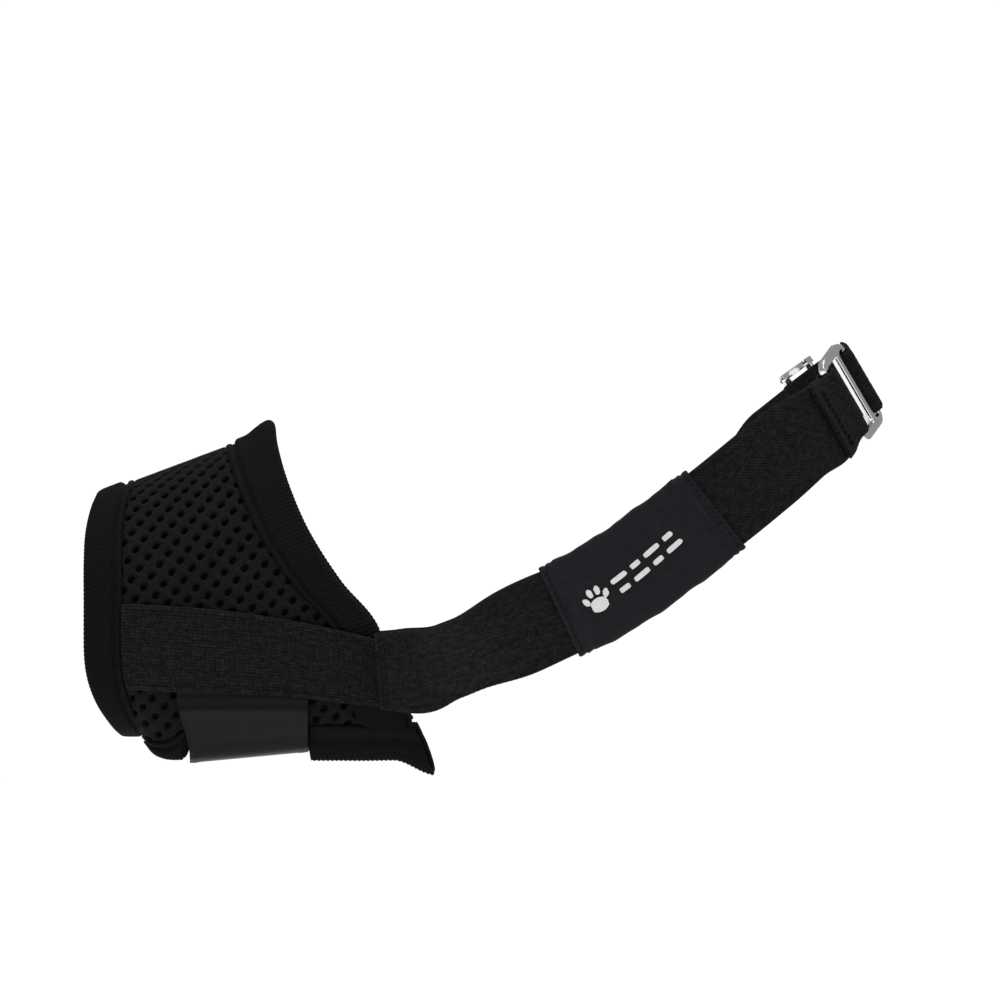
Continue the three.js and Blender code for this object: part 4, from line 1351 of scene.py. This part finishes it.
# ---- Hardware ---------------------------------------------------------------------------------------
def cube(name, size, centre=(0, 0, 0)):
    deselect()
    bpy.ops.mesh.primitive_cube_add(size=1, location=tuple(c * MM for c in centre))
    piece = bpy.context.object
    piece.name = name
    piece.scale = tuple(s * MM for s in size)
    bpy.ops.object.transform_apply(location=True, rotation=True, scale=True)
    return piece


def bevel_edges(piece, width, segments, choose):
    """Bevels the edges that choose picks by their direction."""
    pick_only(piece)
    bpy.ops.object.mode_set(mode="EDIT")
    bpy.ops.mesh.select_mode(type="EDGE")
    bpy.ops.mesh.select_all(action="DESELECT")
    bpy.ops.object.mode_set(mode="OBJECT")
    for edge in piece.data.edges:
        a, b = (piece.data.vertices[v].co for v in edge.vertices)
        edge.select = choose((b - a).normalized(), (a + b) / 2)
    bpy.ops.object.mode_set(mode="EDIT")
    bpy.ops.mesh.bevel(offset=width * MM, segments=segments, affect="EDGES")
    bpy.ops.object.mode_set(mode="OBJECT")


def apply_modifier(piece, kind, **values):
    pick_only(piece)
    modifier = piece.modifiers.new(kind.lower(), kind)
    for name, value in values.items():
        setattr(modifier, name, value)
    bpy.ops.object.modifier_apply(modifier=modifier.name)


def combine(piece, tool, operation):
    apply_modifier(piece, "BOOLEAN", operation=operation, object=tool, solver="EXACT")
    bpy.data.objects.remove(tool, do_unlink=True)


def set_in_place(piece, origin, along, across, out, material):
    """Moves a finished piece from the origin to its place, with the place in its mesh."""
    columns = [Vector(along.tolist()), Vector(across.tolist()), Vector(out.tolist())]
    turn = Matrix(columns).transposed().to_4x4()
    piece.matrix_world = Matrix.Translation((origin * MM).tolist()) @ turn
    pick_only(piece)
    bpy.ops.object.transform_apply(location=True, rotation=True, scale=True)
    piece.data.materials.clear()
    piece.data.materials.append(material)
    bpy.ops.object.shade_smooth_by_angle(angle=math.radians(32))


def nape_ring():
    """The chrome plate with two slots at the nape."""
    pitch = float(np.linalg.norm(RING_FAR - RING_NEAR))
    left, right = -RING_LEFT_BAR / 2, pitch + RING_RIGHT_BAR / 2
    centre = (left + right) / 2
    piece = cube("nape_ring_plate", (right - left, RING_INSIDE + 2 * RING_RAIL, RING_THICK), (centre, 0, 0))
    bevel_edges(piece, 3.4, 8, lambda way, middle: abs(way.z) > 0.9)
    bar = pitch - RING_MIDDLE_FROM_RIGHT
    slots = [
        (RING_LEFT_BAR / 2, bar - RING_MIDDLE_BAR / 2),
        (bar + RING_MIDDLE_BAR / 2, pitch - RING_RIGHT_BAR / 2),
    ]
    for start, end in slots:
        slot = cube("slot", (end - start, RING_INSIDE, 3 * RING_THICK), ((start + end) / 2, 0, 0))
        bevel_edges(slot, 0.5, 4, lambda way, middle: abs(way.z) > 0.9)
        combine(piece, slot, "DIFFERENCE")
    apply_modifier(
        piece, "BEVEL", width=0.72 * MM, segments=4, limit_method="ANGLE", angle_limit=math.radians(50),
        use_clamp_overlap=True,
    )
    set_in_place(piece, RING_NEAR, RING_ALONG, RING_ACROSS, RING_OUT, bright_plate)
    place_piece(piece, "ring", ["nape_ring"])


def slide_adjuster():
    """A wire-like slider: two curved side rails joined by three bars."""
    outer_bar = LAYER + WEBBING_THICK / 2 + 0.35 + ADJUSTER_BAR / 2
    inner_bar = -2.95
    rails = []
    for end in (-1, 1):
        y = end * (ADJUSTER_INSIDE / 2 + ADJUSTER_RAIL / 2)
        reach = ADJUSTER_HALF + ADJUSTER_BAR / 2
        rail = cube("rail", (2 * reach, ADJUSTER_RAIL, ADJUSTER_BAR + 0.3), (0, y, 0))
        pick_only(rail)
        for k in range(1, 16):
            bpy.ops.object.mode_set(mode="EDIT")
            bpy.ops.mesh.select_all(action="SELECT")
            at = (-reach + 2 * reach * k / 16) * MM
            bpy.ops.mesh.bisect(plane_co=(at, 0, 0), plane_no=(1, 0, 0))
            bpy.ops.object.mode_set(mode="OBJECT")
        for vertex in rail.data.vertices:
            share = abs(vertex.co.x / MM) / reach
            vertex.co.z += mix(inner_bar, outer_bar, float(smooth(share, 0.05, 0.8))) * MM
        rails.append(rail)
    piece = rails[0]
    combine(piece, rails[1], "UNION")
    for along, out in ((-ADJUSTER_HALF, outer_bar), (0, inner_bar), (ADJUSTER_HALF, outer_bar)):
        deselect()
        bpy.ops.mesh.primitive_cylinder_add(
            vertices=32, radius=ADJUSTER_BAR / 2 * MM, depth=(ADJUSTER_INSIDE + ADJUSTER_RAIL) * MM,
            location=(along * MM, 0, out * MM), rotation=(math.pi / 2, 0, 0),
        )
        bar = bpy.context.object
        bpy.ops.object.transform_apply(location=True, rotation=True, scale=True)
        combine(piece, bar, "UNION")
    apply_modifier(
        piece, "BEVEL", width=0.35 * MM, segments=3, limit_method="ANGLE", angle_limit=math.radians(50),
        use_clamp_overlap=True,
    )
    piece.name = "slide_adjuster_frame"
    set_in_place(
        piece, straight_point(ADJUSTER_ALONG, 0), STRAIGHT_ALONG, STRAIGHT_ACROSS, STRAIGHT_OUT, bright_plate,
    )
    place_piece(piece, "adjuster", ["slide_adjuster"])


# ---- Stage, light and camera --------------------------------------------------------------------------
def stage():
    """A plain pale floor, wide enough to fill the view from every side."""
    deselect()
    bpy.ops.mesh.primitive_circle_add(vertices=96, radius=9, fill_type="NGON", location=(0, 0, -0.17))
    floor = bpy.context.object
    bpy.ops.object.transform_apply(location=True, rotation=True, scale=True)
    floor.name = "studio_floor"
    material = bpy.data.materials.new("pale_floor")
    material.use_nodes = True
    nodes = Nodes(material.node_tree)
    shader = material.node_tree.nodes["Principled BSDF"]
    shader.inputs["Base Color"].default_value = (0.93, 0.93, 0.93, 1)
    shader.inputs["Roughness"].default_value = 0.9
    shader.inputs["Emission Color"].default_value = (1, 1, 1, 1)
    path = nodes.add("ShaderNodeLightPath")
    seen = nodes.math("MULTIPLY", path.outputs["Is Camera Ray"], 0.85)
    mirrored = nodes.math("MULTIPLY", path.outputs["Is Glossy Ray"], 0.3)
    nodes.feed(shader.inputs["Emission Strength"], nodes.math("ADD", seen, mirrored))
    floor.data.materials.append(material)


def area_light(name, place, aim, size, watts, tint=(1, 1, 1)):
    data = bpy.data.lights.new(name, "AREA")
    data.shape = "DISK"
    data.size = size
    data.energy = watts
    data.color = tint
    lamp = bpy.data.objects.new(name, data)
    lamp.location = place
    lamp.rotation_euler = (Vector(aim) - Vector(place)).to_track_quat("-Z", "Y").to_euler()
    bpy.context.scene.collection.objects.link(lamp)


def light_and_camera():
    middle = (0.07, 0, 0.02)
    area_light("key_softbox", (-0.9, -1.5, 1.5), middle, 1.2, 7.5)
    area_light("fill_softbox", (1.4, -1.3, 0.7), middle, 1.2, 2.6)
    area_light("top_softbox", (0.1, 0.2, 1.7), middle, 1.4, 5)
    area_light("low_fill", (0.0, -0.22, -0.155), (0.0, 0.0, -0.04), 0.35, 0.22)
    area_light("back_fill", (0.5, 1.9, 0.9), middle, 1.4, 6)
    area_light("floor_wash", (0.0, -0.3, 2.6), (0.0, 1.0, 0.0), 2.0, 40)
    world = bpy.data.worlds.new("studio")
    bpy.context.scene.world = world
    world.use_nodes = True
    nodes = Nodes(world.node_tree)
    backdrop = world.node_tree.nodes["Background"]
    backdrop.inputs["Color"].default_value = (1, 1, 1, 1)
    path = nodes.add("ShaderNodeLightPath")
    mirrored = nodes.math("MULTIPLY", path.outputs["Is Glossy Ray"], 0.1)
    seen = nodes.math("MULTIPLY", path.outputs["Is Camera Ray"], 0.8)
    nodes.feed(backdrop.inputs["Strength"], nodes.math("ADD", nodes.math("ADD", seen, mirrored), 0.22))
    data = bpy.data.cameras.new("camera")
    data.sensor_width = 36
    distance, view_width, near_side = 6.0, 0.2778, 0.045
    data.lens = data.sensor_width * (distance - near_side) / view_width
    data.clip_end = 50
    camera = bpy.data.objects.new("camera", data)
    camera.location = (0.0722, -distance, 0.0278)
    camera.rotation_euler = (math.pi / 2, 0, 0)
    bpy.context.scene.collection.objects.link(camera)
    bpy.context.scene.camera = camera
    bpy.context.scene.view_settings.view_transform = "Standard"


light_and_camera()
stage()
knit_lining()
knit_skin()
front_tape()
rear_tape()
chin_band()
for flank in (LEFT, RIGHT):
    lower_tape(flank)
    side_strap(flank)
    strap_facing(flank)
    junction_seams(flank)
neck_strap_left()
neck_strap_right()
ring_strap_loop()
return_strap()
label_sleeve()
label_print()
hem_stitches()
nape_ring()
slide_adjuster()
